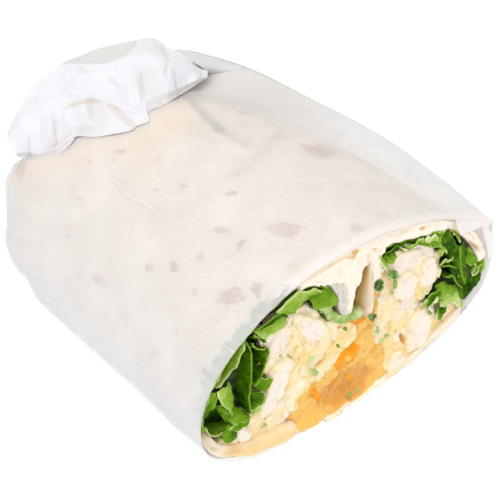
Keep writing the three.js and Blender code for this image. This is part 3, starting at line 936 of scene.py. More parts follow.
def bag_section(y):
    """One section of the bag: round the wrap from the wing's lower root to its upper one, then out."""
    raw = [wrap_line(i / BAG_POINTS) for i in range(BAG_POINTS)]
    close, loose = grown(raw, GAP), grown(raw, GAP + SLACK)
    ring = []
    for i in range(BAG_POINTS):
        share = i / BAG_POINTS
        x, z = close[i].lerp(loose[i], slack(share))
        station = mouth(share) if y <= 0 else y
        ring.append(place(x, max(z, 0.12), station, WRAP_LENGTH + GAP))
    tip_x, tip_y, tip_z = wing_tip(y)
    tip = in_frame(tip_x, max(y, -0.5) if y > 0 else -0.5, tip_z)
    angles = [math.atan2(p.z - tip.z, tip.x - p.x) for p in ring]
    meets = angles.index(min(angles))
    leaves = angles.index(max(angles))
    return ring, tip, meets, leaves


def bag_sheet():
    stations = [0.0, 0.6] + [1.2 * i for i in range(1, 49)]
    stations += [WRAP_LENGTH + GAP - END_ROUNDING * (1 - math.sin(math.pi / 2 * i / 14)) for i in range(1, 15)]
    sections = []
    for y in stations:
        ring, tip, first_meets, first_leaves = bag_section(y)
        if y < WING_ENDS:
            meets, leaves = first_meets, first_leaves
        kept = 1 - smoothstep(y, 77, 86)
        arc = [ring[(leaves + i) % BAG_POINTS] for i in range((meets - leaves) % BAG_POINTS + 1)]
        short = [ring[(meets + i) % BAG_POINTS] for i in range((leaves - meets) % BAG_POINTS + 1)]
        arc_line = Line(arc, straight=True)
        short_line = Line(short, straight=True)
        section = [arc_line(i / BAG_ARC) for i in range(BAG_ARC)]
        start, end = arc_line(1), arc_line(0)
        for i in range(2 * BAG_WING):
            share = i / (2 * BAG_WING)
            if i < BAG_WING:
                out = start.lerp(tip, i / BAG_WING)
            else:
                out = tip.lerp(end, i / BAG_WING - 1)
            section.append(short_line(share).lerp(out, kept))
        sections.append(section)
    count = len(sections[0])
    last = len(sections) - 1

    def shape(u, v):
        i = round(u * count) % count
        j = round(v * last)
        point = sections[j][i].copy()
        wrinkle = noise.noise(point / MM * 0.11) * 0.25 + noise.noise(point / MM * 0.35) * 0.08
        point.z += max(0, wrinkle) * MM * (1 if sections[j][i].z > 3 * MM else 0)
        return point

    def hem(u, v):
        point = local(sections[round(v * last)][round(u * count) % count])
        start = HEM_START + point.y * 0.8
        folded = smoothstep(point.x, start, start + 0.6) * (1 - smoothstep(point.y, 1.6, 2.8)) * (point.z > 30)
        # Past the arc, the far empty edge is painted lighter.
        return max(folded, 0.35 * (u * count > BAG_ARC + 2) * smoothstep(point.y, 40, 60))

    # Painted shade greys the far part of the empty edge.
    def grey(u, v):
        return 0.5 * (u * count > BAG_ARC + 2) * smoothstep(stations[round(v * last)], 40, 60)

    return grid(count, last, shape, {"hem": hem, "grey": grey}, True)


# The bag's crumpled end, folded forward, in pixels of the photograph: its outer and inner rim, its
# folds with their half width in pixels and height in mm, its painted shade areas and its thin areas.
BUNCH_OUTER = [
    (12, 144), (7, 138), (13, 121), (23, 102), (35, 86), (50, 74), (64, 62.5), (80, 56), (97, 49), (117, 44),
    (137, 40), (153, 38), (165, 45), (177, 52), (193, 62), (208, 71),
]
BUNCH_INNER = [
    (13, 146), (18, 157), (30, 158.5), (45, 163.5), (60, 153), (73, 141), (75, 137), (95, 137), (114, 134),
    (132, 130), (137, 126), (149, 121), (147, 113), (165, 104), (182, 94), (200, 82), (207.5, 78),
]
BUNCH_FOLDS = [
    ([(67, 92), (90, 97), (107, 101.5), (133, 111.5), (147, 112.5)], 1.6, 0.45),
    ([(66, 96), (90, 101.5), (107, 106), (131, 116)], 2.0, -0.35),
    ([(65, 63), (88, 64.5), (107, 64), (125, 57), (148, 52), (156, 60), (164, 72)], 1.4, 0.5),
    ([(64, 60), (88, 61), (107, 60.5), (124, 53), (137, 46)], 2.2, -0.4),
    ([(164, 47), (169, 58), (165, 80)], 2.2, -0.5), ([(23, 102), (45, 96), (67, 92)], 1.8, -0.35),
    ([(37, 88), (50, 78), (63, 72)], 1.5, -0.3), ([(44, 82), (56, 73), (67, 67)], 1.4, 0.3),
    ([(64, 110), (67, 124), (74, 137)], 1.3, 0.4), ([(62, 117), (52, 140), (46, 160)], 1.6, -0.3),
    ([(103, 103), (117, 116), (131, 129)], 1.2, 0.3), ([(117, 107), (128, 116), (137, 125)], 1.2, 0.3),
    ([(75, 136), (95, 136), (114, 133), (130, 129)], 1.4, 0.3), ([(68, 92), (66, 80), (68, 68)], 1.8, 0.35),
    ([(20, 132), (38, 116), (58, 104)], 2.4, -0.25), ([(26, 148), (42, 128), (58, 112)], 2.2, -0.2),
    ([(72, 76), (90, 75), (106, 78), (120, 88), (136, 92)], 2.4, -0.25),
    ([(100, 98), (122, 94), (140, 82), (152, 66)], 3.0, -0.2),
]
BUNCH_PAINTED_SHADE = [
    ([(56, 66), (64, 58), (97, 44), (117, 38), (137, 36), (137, 46), (125, 57), (107, 64), (87, 64), (67, 64)], 1.0),
    ([(137, 36), (153, 34), (165, 44), (166, 60), (158, 56), (148, 51), (125, 57), (137, 46)], 0.35),
    ([(76, 73), (80, 66), (90, 73)], 0.6), ([(105, 75), (115, 76), (120, 88), (109, 82)], 0.5),
    ([(164, 46), (171, 56), (167, 80), (163, 74), (166, 60)], 0.4),
]
BUNCH_THIN = [
    ([(64, 109), (72, 102), (91, 97.5), (103, 102), (82, 105)], 1.0),
    ([(103, 102.5), (117, 106), (137, 125), (132, 130)], 0.8),
    ([(86, 104), (100, 103), (110, 114), (102, 134), (78, 135)], 0.35),
    ([(137, 92), (140, 70), (150, 64), (160, 70), (162, 86), (150, 97)], 0.25),
    ([(147, 113), (149, 104), (182, 87), (206, 74), (207, 80), (187, 93)], 0.35),
    ([(62, 117), (65, 128), (72, 141), (46, 162), (49, 148)], 0.4), ([(146, 113), (149, 122), (138, 126)], 0.2),
]
BUNCH_GATHER = (66, 86)
BUNCH_AROUND = 180
BUNCH_ACROSS = 66
BUNCH_EASING = (4,) * 6 + (2,) * 6 + (1,) * 4
# The mouth's pinked edge at the right and its root, then the hanging point, in pixels.
TEETH = [(492, 222), (490, 226), (489, 229), (494, 236), (492, 239), (496.5, 246.5), (493, 250), (489, 258)]
TEETH_ROOT = [(481, 224), (483, 232), (485, 240), (487, 248), (488, 258)]
HANGING_POINT = [(456, 222), (458, 229), (461, 236), (464, 232.5), (470, 231.5), (476, 229), (491, 222)]
HANGING_ROOT = [(455, 220), (462, 220), (468, 220), (478, 220), (491, 220)]
# Fine raised folds of the paper: line in the photograph, width in pixels, height in mm.
FINE_FOLDS = [
    ([(103, 141), (108, 153), (113, 168), (119, 185), (130, 197), (143, 203), (156, 212), (166, 223)], 3.2, 0.15),
    ([(221, 342), (226, 347), (230, 350), (235, 353)], 1.8, 0.4),
]
WING_MEETS = [(208, 74), (200, 66), (180, 55), (162, 45)]
BACK_FOOT = [(-27, 80, 30), (-24, 83, 28), (-16, 85, 30), (-6, 85, 30), (4, 83, 32), (14, 78, 37)]


def crumpled(point, size, depth):
    """Flat facets with sharp creases between them, as pressed thin paper has."""
    spot = point / MM / size
    cell = noise.voronoi(spot)[0]
    return (cell[1] - cell[0]) * depth + noise.noise(spot * 2.3) * depth * 0.4


def painted(px, py, areas, soft):
    """The strongest of the areas at a place, fading out over soft pixels to each side."""
    return max(amount * smoothstep(depth_inside(px, py, outline), -soft, soft) for outline, amount in areas)


def eased(rows, reach):
    """Numbers in rows and columns, each replaced by the mean of its neighbours; turned over."""
    end = len(rows) - 1
    return [[(rows[max(0, i - reach)][j] + rows[i][j] * 2 + rows[min(end, i + reach)][j]) / 4
             for i in range(end + 1)] for j in range(len(rows[0]))]


def bunch_shape(lump):
    """The crumpled sheet, from its outer to its inner rim, laid over the lump below."""
    outer, inner = Line(BUNCH_OUTER), Line(BUNCH_INNER)

    def spot(u, v):
        return outer(u).lerp(inner(u), v)

    plain = [[(seen_on(lump, *spot(i / BUNCH_AROUND, j / BUNCH_ACROSS)) - CAMERA_AT).length
              for j in range(BUNCH_ACROSS + 1)] for i in range(BUNCH_AROUND + 1)]
    depth = plain
    for reach in BUNCH_EASING:
        depth = eased(eased(depth, reach), reach)
    for i in range(BUNCH_AROUND + 1):
        for j in range(BUNCH_ACROSS + 1):
            over = max(0, depth[i][j] - plain[i][j])
            depth[i][j] -= over * smoothstep(j / BUNCH_ACROSS, 0.3, 0.8)

    def shape(u, v):
        px, py = spot(u, v)
        point = CAMERA_AT + ray_through(px, py) * depth[round(u * BUNCH_AROUND)][round(v * BUNCH_ACROSS)]
        held = smoothstep(v, 0, 0.2) * smoothstep(1 - v, 0, 0.2)
        lift = 0.25 + 0.9 * held
        for points, width, height in BUNCH_FOLDS:
            lift += 0.7 * height * math.exp(-(off_line(px, py, points) / width) ** 2)
        lift += crumpled(point, 12, 0.4) + crumpled(point, 4.5, 0.12)
        gather_x, gather_y = BUNCH_GATHER
        turn = math.atan2(py - gather_y, gather_x - px)
        pleat = math.sin(turn * 11 + 2 * noise.noise(point / MM * 0.2))
        lift += pleat * 0.12 * smoothstep(gather_x - px, 4, 22)
        lift *= 1 - 0.75 * smoothstep(v, 0.82, 1)
        return point - ray_through(px, py) * lift * MM

    return spot, shape


def make_bunch():
    """The crumpled end: its sheet, the panel down its rear, and the empty edge's end beside it."""
    cad_paper = bmesh.new()
    cad_paper.from_mesh(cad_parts["paper"].data)
    lump = BVHTree.FromBMesh(cad_paper)
    cad_paper.free()
    spot, shape = bunch_shape(lump)
    rim = [shape(i / BUNCH_AROUND, 0) for i in range(BUNCH_AROUND + 1)]
    foot = Line([shape(0, 1)] + [in_frame(*p) for p in BACK_FOOT] + [shape(1, 1)])

    def rear(u, v):
        point = rim[round(u * BUNCH_AROUND)].lerp(foot(u), v)
        wave = u * 11 % 1
        pleat = (abs(wave - 0.5) - 0.25) * 2.5 * v * (1.2 - v)
        bulge = math.sin(math.pi * v)
        creased = crumpled(point, 11, 1.6) + crumpled(point, 4, 0.5) - 0.6
        point.y += (bulge * 1.6 + pleat + creased * bulge * math.sin(math.pi * u) ** 0.5) * MM
        return point

    # Panels turned away from the light are greyed as painted shade.
    marks = {"grey": lambda u, v: painted(*spot(u, v), BUNCH_PAINTED_SHADE, 1.2),
             "thin": lambda u, v: painted(*spot(u, v), BUNCH_THIN, 1.2)}
    wing_end = Line([in_frame(*WING_LINE[i]) for i in (4, 5, 6, 7)])
    bunch_end = Line([seen_on(lump, px, py) for px, py in WING_MEETS])
    # The empty edge's end beside the bunch is greyed as painted shade.
    parts = [grid(BUNCH_AROUND, BUNCH_ACROSS, shape, marks), grid(BUNCH_AROUND, 24, rear),
             grid(30, 14, lambda u, v: wing_end(u).lerp(bunch_end(u), v), {"grey": lambda u, v: 0.7})]
    finish = paper_finish("bunch", 0.9, colour(236, 235, 240), colour(240, 240, 245))
    bunch = piece("paper_bunch", joined(parts), finish)
    thicken(bunch, 0.12, 0.0)


def ribbon(tree, points, width, lift):
    """A fine raised fold of the paper along a line of the photograph."""
    line = Line(points)

    def shape(u, v):
        ahead = line(min(1, u + 0.02)) - line(max(0, u - 0.02))
        side = Vector((-ahead.y, ahead.x)).normalized()
        taper = math.sin(math.pi * u) ** 0.5
        px, py = line(u) + side * width * (v - 0.5) * taper
        rise = 0.05 + lift * math.sin(math.pi * v) ** 2 * taper
        return seen_on(tree, px, py) - ray_through(px, py) * rise * MM

    # The fold's ridge is painted whiter as its highlight.
    return grid(50, 6, shape, {"hem": lambda u, v: 0.6})


def make_edges(bag, sheet):
    """The pinked right edge of the mouth, the point that hangs from the top sheet and fine folds."""
    teeth = Line([at_depth(px, py, -0.4) for px, py in TEETH], straight=True)
    root = Line([at_depth(px, py, -0.3) for px, py in TEETH_ROOT])
    hanging = Line([at_depth(px, py, -1.0) for px, py in HANGING_POINT], straight=True)
    upper = Line([at_depth(px, py, -1.2) for px, py in HANGING_ROOT])
    parts = [grid(90, 4, lambda u, v: teeth(u).lerp(root(u), v), {"hem": lambda u, v: 0.7}),
             grid(40, 10, lambda u, v: hanging(u).lerp(upper(u), v), {"hem": lambda u, v: 0.5})]
    parts += [ribbon(bag, *fold) for fold in FINE_FOLDS]
    scraps = piece("paper_edges", joined(parts), sheet)
    thicken(scraps, 0.1, 0.0)


def make_paper():
    sheet = paper_finish("paper", 0.4, colour(246, 245, 246), colour(252, 251, 250))
    wrapped = bag_sheet()
    surface = BVHTree.FromBMesh(wrapped)
    bag = piece("paper_bag", wrapped, sheet, ["paper"])
    thicken(bag, 0.12, 1.0)
    make_edges(surface, sheet)
    make_bunch()


# ------------------------------------------------------------------ lettuce
def leaf(tone, first, second, bulge=0.6, width=0.35, across=26, along=11):
    """A leaf between two edges given on the cut face. The first edge is its pale cut rim."""
    def on_face(points):
        return Line([place(p[0], p[1], p[2] if len(p) > 2 else 0) for p in points])

    rim, far = on_face(first), on_face(second)
    seed = Vector((first[0][0], first[0][1], 7.3))
    across_mm = (rim(0.5) - far(0.5)).length / MM
    length = rim.length / MM

    def shape(u, v):
        point = rim(u).lerp(far(u), v)
        point.y -= bulge * MM * math.sin(math.pi * v) * (0.6 + 0.4 * math.sin(math.pi * u))
        ruffle = noise.noise(seed + Vector((u * 5, v * 2.5, 0)))
        lift = noise.noise(seed * 2 + Vector((u * 6, v * 3, 1)))
        crimp = noise.noise(seed + Vector((u * length / 1.3, v * across_mm / 1.6, 2)))
        point += Vector((ruffle * 0.5, ruffle * 0.4 + crimp * 0.5, lift * 0.4 + crimp * 0.15)) * MM
        return point

    # Tone falls by a quarter towards the far edge as painted shade deeper in the wrap; each leaf's tone also paints
    # the light and shade where it lies.
    marks = {
        "tone": lambda u, v: tone * (1 - 0.25 * v),
        "rim": lambda u, v: max(0, 1 - v * across_mm / width),
    }
    return grid(across, along, shape, marks)


def receding(first, across, up, back):
    """The far edge of a leaf that runs back into the wrap from its rim."""
    return [(x + across, z + up, (rest[0] if rest else 0) + back) for x, z, *rest in first]


MAIN_RIM = [(-26.2, 37.6), (-25.5, 35), (-25, 32), (-24.9, 29), (-25, 26), (-25.3, 23), (-25.5, 20),
            (-24.9, 15.5)]
BAND_RIM = [(-26.4, 37), (-27.4, 34.5), (-28.6, 32), (-31, 30.2), (-33.3, 28.6)]
CUP_RIM = [(-36.2, 20.2), (-35.2, 17.2), (-33.6, 15.8), (-31, 15.3), (-29, 15.6)]


def edge_leaves():
    """Leaves in the recess of the sheet's edge, seen through the paper round the left side."""
    ring = Line(grown([Vector(p) for p in WRAP_OUTLINE], -0.3), closed=True)
    edge = [ring((i / 48 * 0.4 + 0.84) % 1) for i in range(49)]
    kept = [p for p in edge if p.x < -12.6 and p.y > 17.4]
    near = [(p.x, p.y, -0.2) for p in kept]
    far = [(p.x * 0.99, p.y, 6 + 4 * noise.noise(Vector((p.x, p.y, 0)) * 0.4)) for p in kept]
    return leaf(0.3, near, far, 0.0, 0.3, 80, 8)


def left_leaves():
    return [
        edge_leaves(),
        leaf(0.4, [(-20, 41.4, 1), (-17.6, 42.6, 1), (-15, 43.4, 1), (-12, 42.8, 1), (-9.6, 42, 1), (-7, 40, 1),
                   (-4.4, 36, 1)],
             [(-19.6, 38.6, 2.6), (-17, 39, 2.6), (-14.4, 40, 2.6), (-12, 39.6, 2.6), (-9.6, 38, 2.6),
              (-8, 36, 2.4), (-6, 33.6, 2.2)], 0.4, 0.4, 40, 10),
        leaf(0.2, MAIN_RIM, receding(MAIN_RIM, -1.5, 0, 8)),
        leaf(0.24, [(-21.2, 32.6), (-21, 30.2), (-22, 27.5), (-22.7, 25), (-24.6, 23.6)],
             [(-23, 31, 6), (-23, 28, 6), (-24, 25, 6), (-25, 22, 6), (-26, 20, 6)]),
        leaf(0.42, [(-22.8, 24.8), (-20.1, 22.9), (-21.8, 20.2)],
             [(-24.7, 24, 0.8), (-24, 22.6, 0.8), (-23.4, 21.4, 0.8)], 0.3, 0.3),
        leaf(0.5, BAND_RIM, receding(BAND_RIM, -1, 0, 7), width=0.9),
        leaf(0.62, [(-33.5, 28.6, -0.3), (-33, 25.5, -0.5), (-31.6, 23, -0.5), (-30.6, 20.2, -0.2)],
             [(-30.4, 29.2, 0.3), (-29.6, 25.6, 0.2), (-29.7, 23, 0), (-30.2, 20, 0)], 0.7, 0.4),
        leaf(0.4, [(-33.4, 28.2), (-33.3, 25.8), (-34.3, 24.2), (-35.9, 23)],
             [(-34.9, 28.6, 0.3), (-35.8, 26.4, 0.3), (-36.2, 24.5, 0.3), (-36.3, 22.8, 0.3)], 0.2, 0.3),
        leaf(0.38, [(-31.9, 23.6, 0.2), (-30.9, 21, 0.2), (-30.3, 18.5, 0.3), (-29.7, 16.2, 0.3)],
             [(-33.5, 23.9, 1), (-32.4, 21, 1.2), (-31.4, 18.4, 1.4), (-30.8, 16.8, 1.4)], 0.4, 0.35),
        leaf(0.42, [(-30.3, 17), (-29.3, 15.4), (-27.5, 15), (-25.6, 15)],
             [(-30.1, 21, 1.5), (-28.5, 19.8, 1.5), (-26.7, 17, 1.5), (-25.6, 15.6, 1)], 0.3, 0.6),
        leaf(0.5, CUP_RIM, receding(CUP_RIM, 0.4, -1.6, 5), 0.8, 0.8),
        leaf(0.4, [(-32.6, 15), (-30, 13.9), (-27.2, 13.4), (-25.7, 14.6)],
             [(-31.6, 15.9, 0.4), (-29, 15.7, 0.4), (-27, 15.3, 0.4), (-25.4, 15.7, 0.4)], 0.3, 0.3),
        leaf(0.42, [(-33, 13.7), (-31.9, 12.3), (-30.4, 11), (-29.4, 11.4)],
             [(-31.6, 15, 0.4), (-30.4, 14.4, 0.4), (-29.3, 13.5, 0.4), (-28.5, 12.9, 0.4)], 0.5, 0.5),
        leaf(0.3, [(-22.1, 20.1), (-21.8, 18.2), (-22.8, 16.3)],
             [(-24.7, 21.8, 1), (-24.4, 19, 1), (-24.9, 16.8, 1)], 0.5, 0.5),
        leaf(0.85, [(-22.4, 17, -0.2), (-23.2, 15.9, -0.3), (-24.8, 15.1, -0.2)],
             [(-23.2, 17.3, 0.2), (-24.2, 16.7, 0.2), (-25.1, 16, 0.2)], 0.2, 0.3),
        leaf(0.25, [(-21.6, 34, 0), (-22, 35, 0), (-23, 36.5, 0), (-24.7, 38.2, 0)],
             [(-22.6, 33.4, 3), (-23.2, 34.2, 3), (-24, 35, 3), (-25, 36, 3)], 0.3, 0.4),
        leaf(0.3, [(-21.4, 32.4, 0.1), (-22.6, 32.9, 0), (-24, 34, 0), (-24.9, 36.4, 0)],
             [(-22.6, 31, 4), (-23.5, 31.5, 4), (-24.6, 32, 4), (-25.4, 33, 4)], 0.3, 0.4),
        leaf(0.72, [(-23.3, 36.9), (-21.5, 35.6), (-19.5, 35.3), (-18, 35.6), (-16.7, 36.2)],
             [(-24.3, 38.6, 1), (-21.8, 38, 1), (-20, 37.9, 1), (-18, 38.4, 1), (-16.9, 37.8, 1)], 0.5, 0.5),
        leaf(0.16, [(-23.6, 38.9), (-20.6, 40.2), (-18.5, 40.6), (-17.3, 39.8), (-16.8, 38)],
             [(-22, 35, 2.2), (-20, 35, 2.2), (-18, 35, 2.2), (-16.5, 35, 2.2), (-15.5, 35, 2.2)], 0.2, 0.7),
        leaf(0.6, [(-19.8, 41), (-17.4, 42.1), (-15.2, 43.4), (-12.5, 42.3), (-10.3, 41.3), (-8.6, 40)],
             [(-17.4, 39.5, 0.6), (-16.2, 38.2, 0.4), (-14.6, 38, 0.4), (-13, 38.8, 0.6), (-11.5, 39.4, 0.8),
              (-9.8, 39.5, 0.8)], 0.6, 0.7),
        leaf(0.54, [(-10.6, 37), (-10, 35.3), (-8.5, 34.4), (-7, 34.1), (-4.5, 34.7)],
             [(-11.6, 39.4, 1), (-9, 39.9, 1), (-7, 38.8, 0.8), (-5.7, 37, 0.5), (-4.4, 35.2, 0.2)], 0.6, 0.6),
    ]


HANGING_RIM = [(24.4, 37), (25.5, 34.5), (26.7, 32), (27.2, 30), (26.6, 28.4)]
MIDDLE_VEIN = [(28, 30.7, -0.3), (28.6, 27, -0.3), (29.1, 24, -0.3), (30.3, 20.5, -0.3), (31.6, 17.6, -0.3)]


def right_leaves():
    return [
        leaf(0.36, [(6.4, 41.6, 0.5), (10, 41.8, 0.5), (14, 40.8, 0.5), (18, 39.8, 0.5), (22, 38.6, 0.5),
                    (25.4, 36.8, 0.5), (28, 34, 0.5)],
             [(7.4, 38.5, 2.4), (10, 38.4, 2.4), (14, 37.4, 2.4), (18, 36.4, 2.4), (22, 35.4, 2.4),
              (24.6, 33.8, 2.4), (26.8, 31, 2.4)], 0.5, 0.3, 50, 10),
        leaf(0.2, HANGING_RIM, [(22.4, 37, 0.6), (22.7, 34.5, 0.6), (23.6, 32, 0.6), (24.4, 29.8, 0.6),
                                (25, 28.3, 0.4)], 0.5, 0.25),
        leaf(0.22, MIDDLE_VEIN, [(27.2, 30.8, 0.8), (27.1, 28, 0.8), (27, 25.5, 0.8), (27.6, 22, 0.8),
                                 (29.4, 19, 0.8)], 0.3, 0.35),
        leaf(0.26, MIDDLE_VEIN, [(29.6, 30.4, 0.6), (30.8, 27.5, 0.6), (31.4, 24.5, 0.6), (32, 21, 0.6),
                                 (32.4, 18.2, 0.6)], 0.3, 0.3),
        leaf(0.45, [(29.1, 24.6, -0.2), (31.5, 23.3, -0.4), (33.4, 22.1, -0.4), (33.3, 20.2, -0.2)],
             [(31.4, 25.6, 0.8), (32.8, 25.4, 0.8), (34.4, 23.8, 0.8), (35.4, 20.6, 0.8)], 0.3, 0.4),
        leaf(0.5, [(33.4, 21.4, -0.2), (33.1, 19.6, -0.3), (34.1, 18.2, -0.3), (35.3, 18.7, -0.2),
                   (35.6, 20.3, 0), (36.2, 21, 0), (37, 19.2, 0), (36.3, 17.9, 0)],
             [(34, 21.8, 2.5), (34, 20.2, 2.5), (34.4, 19.5, 2.5), (34.9, 19.6, 2.5), (35, 20.5, 2.5),
              (35.4, 21, 2.5), (35.9, 20, 2.5), (35.6, 18.6, 2.5)], 0.2, 0.6, 34),
        leaf(0.46, [(35.2, 16.2, -0.2), (36.4, 17.6, -0.3), (37, 19.6, -0.3), (36.4, 22.2, -0.2)],
             [(34.6, 17.2, 0.6), (35.2, 18.4, 0.8), (35.6, 20, 0.8), (35.2, 21.8, 0.6)], 0.2, 0.4, 20, 6),
        leaf(0.3, [(24, 26.9, -0.1), (26.4, 25.9, -0.1), (28, 24, -0.1), (29.5, 20, -0.1)],
             receding([(24, 26.9), (26.4, 25.9), (28, 24), (29.5, 20)], 0.3, -1, 4), 0.3, 0.5),
        leaf(0.3, [(25.4, 22.8, -0.1), (27.4, 22, -0.1), (29.4, 18.6, -0.1), (31, 16.5, -0.1)],
             receding([(25.4, 22.8), (27.4, 22), (29.4, 18.6), (31, 16.5)], 0, -0.5, 4), 0.3, 0.6),
        leaf(0.22, [(30.3, 14.3), (32, 12.6), (33.6, 13), (35.5, 15.4), (36.4, 17.6)],
             [(30, 18, 0.8), (31.6, 17, 0.8), (33, 17.8, 0.8), (34.6, 18.2, 0.6), (36, 18.4, 0.4)], 0.7, 0.2),
        leaf(0.86, [(24.4, 15, -0.3), (26.8, 13.9, -0.3), (28.8, 13.4, -0.4), (30.6, 10.8, -0.4),
                    (31.8, 9.6, -0.2)],
             [(24.2, 16.3, 0.2), (27, 16.5, 0.2), (29.3, 15.9, 0.1), (31, 13.6, 0.1), (32.1, 10.6, 0)], 0.4, 0.4),
        leaf(0.52, [(24.3, 16.4), (26, 16.8), (28, 16.5), (30, 15.4)],
             [(23.6, 20.4, 1), (25.4, 20.6, 1.2), (27.6, 19, 1.4), (29.8, 17.4, 1.2)], 0.4, 0.4),
        leaf(0.26, [(20.4, 17.8), (21, 20.6), (22.6, 20.4), (24.2, 20), (24.8, 18)],
             [(21.2, 16.2, 0.6), (22.6, 16.2, 0.8), (23.6, 16.6, 0.8), (24.2, 17, 0.8), (24.6, 17.4, 0.6)], 0.6, 0.5),
        leaf(0.95, [(21.4, 17, -0.4), (22, 18.6, -0.5), (23, 19, -0.4)],
             [(22.2, 16.8, -0.3), (22.9, 17.6, -0.4), (23.4, 18.4, -0.3)], 0.3, 0.3, 10, 5),
        leaf(0.66, [(18.8, 18.4), (19.8, 19.4), (20.8, 19.6)],
             [(19.3, 17.6, 0.3), (20.3, 17.6, 0.3), (21, 18, 0.3)], 0.3, 0.3, 10, 5),
        leaf(0.4, [(23.9, 14.2), (24.4, 12.2), (25.4, 10.2), (26.7, 11.6), (26.9, 14)],
             [(24.6, 14.5, 0.5), (25, 13.6, 0.6), (25.5, 13, 0.6), (26, 13.4, 0.6), (26.4, 14.4, 0.5)], 0.4, 0.5),
        leaf(0.1, [(6.9, 39.4), (8, 40.8), (9.8, 40.8), (11.2, 39.6), (12.2, 38.2)],
             [(7.2, 37, 2.6), (8, 36.2, 2.6), (9.4, 36, 2.6), (10.6, 36, 2.6), (11.6, 36.6, 2.6)], -0.4, 0.35),
        leaf(0.7, [(5.4, 40.2, -0.2), (5.9, 38.4, -0.2), (7.4, 36.3, -0.2)],
             [(6.6, 40.6, 0.6), (7.2, 39, 0.6), (7.8, 37.6, 0.6)], 0.4, 0.5),
        leaf(0.62, [(8.2, 37.2, -0.2), (9.4, 36.3, -0.2), (10.2, 37.4, -0.2)],
             [(7.4, 39, 0.8), (8.8, 38.4, 0.9), (10.4, 38.6, 1)], 0.5, 0.5, 12, 7),
        leaf(0.46, [(11.9, 40.2), (13.6, 38.9), (15, 38.8), (16, 39.5), (17.2, 38.8), (17.8, 37.3)],
             [(12.3, 38.4, 1), (13.6, 37.6, 1), (15, 37.4, 1), (16, 37.2, 1), (16.8, 36.6, 1), (17.6, 36, 1)],
             0.7, 0.7),
        leaf(0.88, [(17.4, 38.6, -0.2), (18.6, 38.9, -0.3), (20.4, 38.2, -0.3), (21, 37, -0.2)],
             [(17.8, 37, 0.4), (18.8, 36.6, 0.4), (19.8, 36.4, 0.4), (20.6, 36, 0.4)], 0.7, 0.4),
        leaf(0.5, [(17.6, 36.4, -0.2), (18.8, 35.8, -0.2), (20.4, 35.4, -0.2), (22.2, 35.6, -0.2)],
             [(16.8, 38.4, 0.8), (18.6, 37.8, 0.9), (20.4, 37.4, 0.9), (22.6, 37.6, 0.8)], 0.6, 0.7),
        leaf(0.36, [(18.8, 39.2), (20.4, 38.8), (21.8, 38), (23, 37.4)],
             [(19.2, 38, 0.8), (20.4, 37.4, 0.8), (21.6, 36.8, 0.8), (22.6, 36, 0.8)], 0.5, 0.6),
        leaf(0.58, [(20, 34.8, -0.1), (21.2, 33.8, -0.2), (22.8, 33.4, -0.1)],
             [(20.2, 36.4, 0.6), (21.4, 36, 0.6), (22.8, 35.6, 0.6)], 0.5, 0.6, 14, 7),
        leaf(0.72, [(22.2, 31, -0.2), (23.4, 31.6, -0.3), (24.6, 30.2, -0.1)],
             [(22.4, 32.4, 0.5), (23.6, 33, 0.5), (24.8, 32, 0.5)], 0.4, 0.4, 14, 7),
        leaf(0.6, [(25.6, 35.4, -0.1), (27, 33.2, -0.1), (28.2, 31.4, -0.1)],
             [(26.4, 35.2, 0.6), (27.8, 33.2, 0.6), (28.8, 31.6, 0.6)], 0.2, 0.4, 14, 5),
        leaf(0.42, [(31.4, 28, 0.1), (32.2, 26.6, 0), (33, 25.4, 0)],
             [(30.8, 27.4, 0.8), (31.4, 25.8, 0.8), (32.2, 24.8, 0.8)], 0.2, 0.3, 12, 5),
        leaf(0.6, [(23.2, 28, -0.1), (24.2, 29.2, -0.1), (25.4, 28.2, -0.1), (26.4, 28.6, -0.1)],
             [(23.4, 26.6, 0.7), (24.4, 27.2, 0.8), (25.4, 26.8, 0.8), (26.4, 27, 0.8)], 0.4, 0.5, 14, 6),
    ]


LETTUCE_LEFT_CORE = [
    (-34.6, 17.5), (-31, 14.6), (-26, 15), (-23.4, 17.4), (-22.6, 21), (-21.8, 23.5), (-23, 26), (-22, 30),
    (-22.6, 33), (-20, 37), (-16.5, 37.5), (-14, 39), (-11, 37.6), (-9, 36), (-6.4, 35.6), (-8.6, 40),
    (-14.5, 42), (-24.5, 37), (-32, 28.6), (-34.8, 22),
]
LETTUCE_RIGHT_CORE = [
    (8, 38), (10.6, 37.8), (15.4, 38.2), (18.6, 37), (21.6, 35), (23.6, 32.8), (24.6, 29.4), (24.6, 26),
    (25, 21.4), (22, 18.6), (24, 16.6), (26, 13.4), (29.6, 14), (33, 13.4), (35, 17), (34.6, 21),
    (31.8, 26.8), (26.6, 33.6), (18, 38.4), (9, 41),
]
LEAVES_START = 3.2
FOOD_END = 74


def make_lettuce(name, node, leaves, core):
    # The core behind the leaves stands in for the shade deep between them.
    core_part = prism(core, LEAVES_START, FOOD_END - 2)
    depths = piece(name + "_depths", core_part, depths_shade_finish(), [node])
    sheets = piece(name, joined(leaves), leaf_finish())
    thicken(sheets, 0.24, 0.0, 1)
    return depths, sheets


# ------------------------------------------------------------------ rib
RIB = [
    (-6.8, 40.4), (-5.5, 38.2), (-4.2, 34.6), (-3.7, 31.6), (-2.5, 28.8), (-1, 28), (-0.8, 30), (-1.2, 33),
    (-1.9, 36.6), (-2.7, 39.2), (-4.6, 40.4),
]
STRAND = [(-9, 35.4), (-7.6, 36), (-6, 33.4), (-3.6, 29.8), (-0.6, 28.2), (3.3, 26.6), (2.9, 25.4), (-0.8, 26.2),
          (-4.2, 28), (-7, 31.8)]


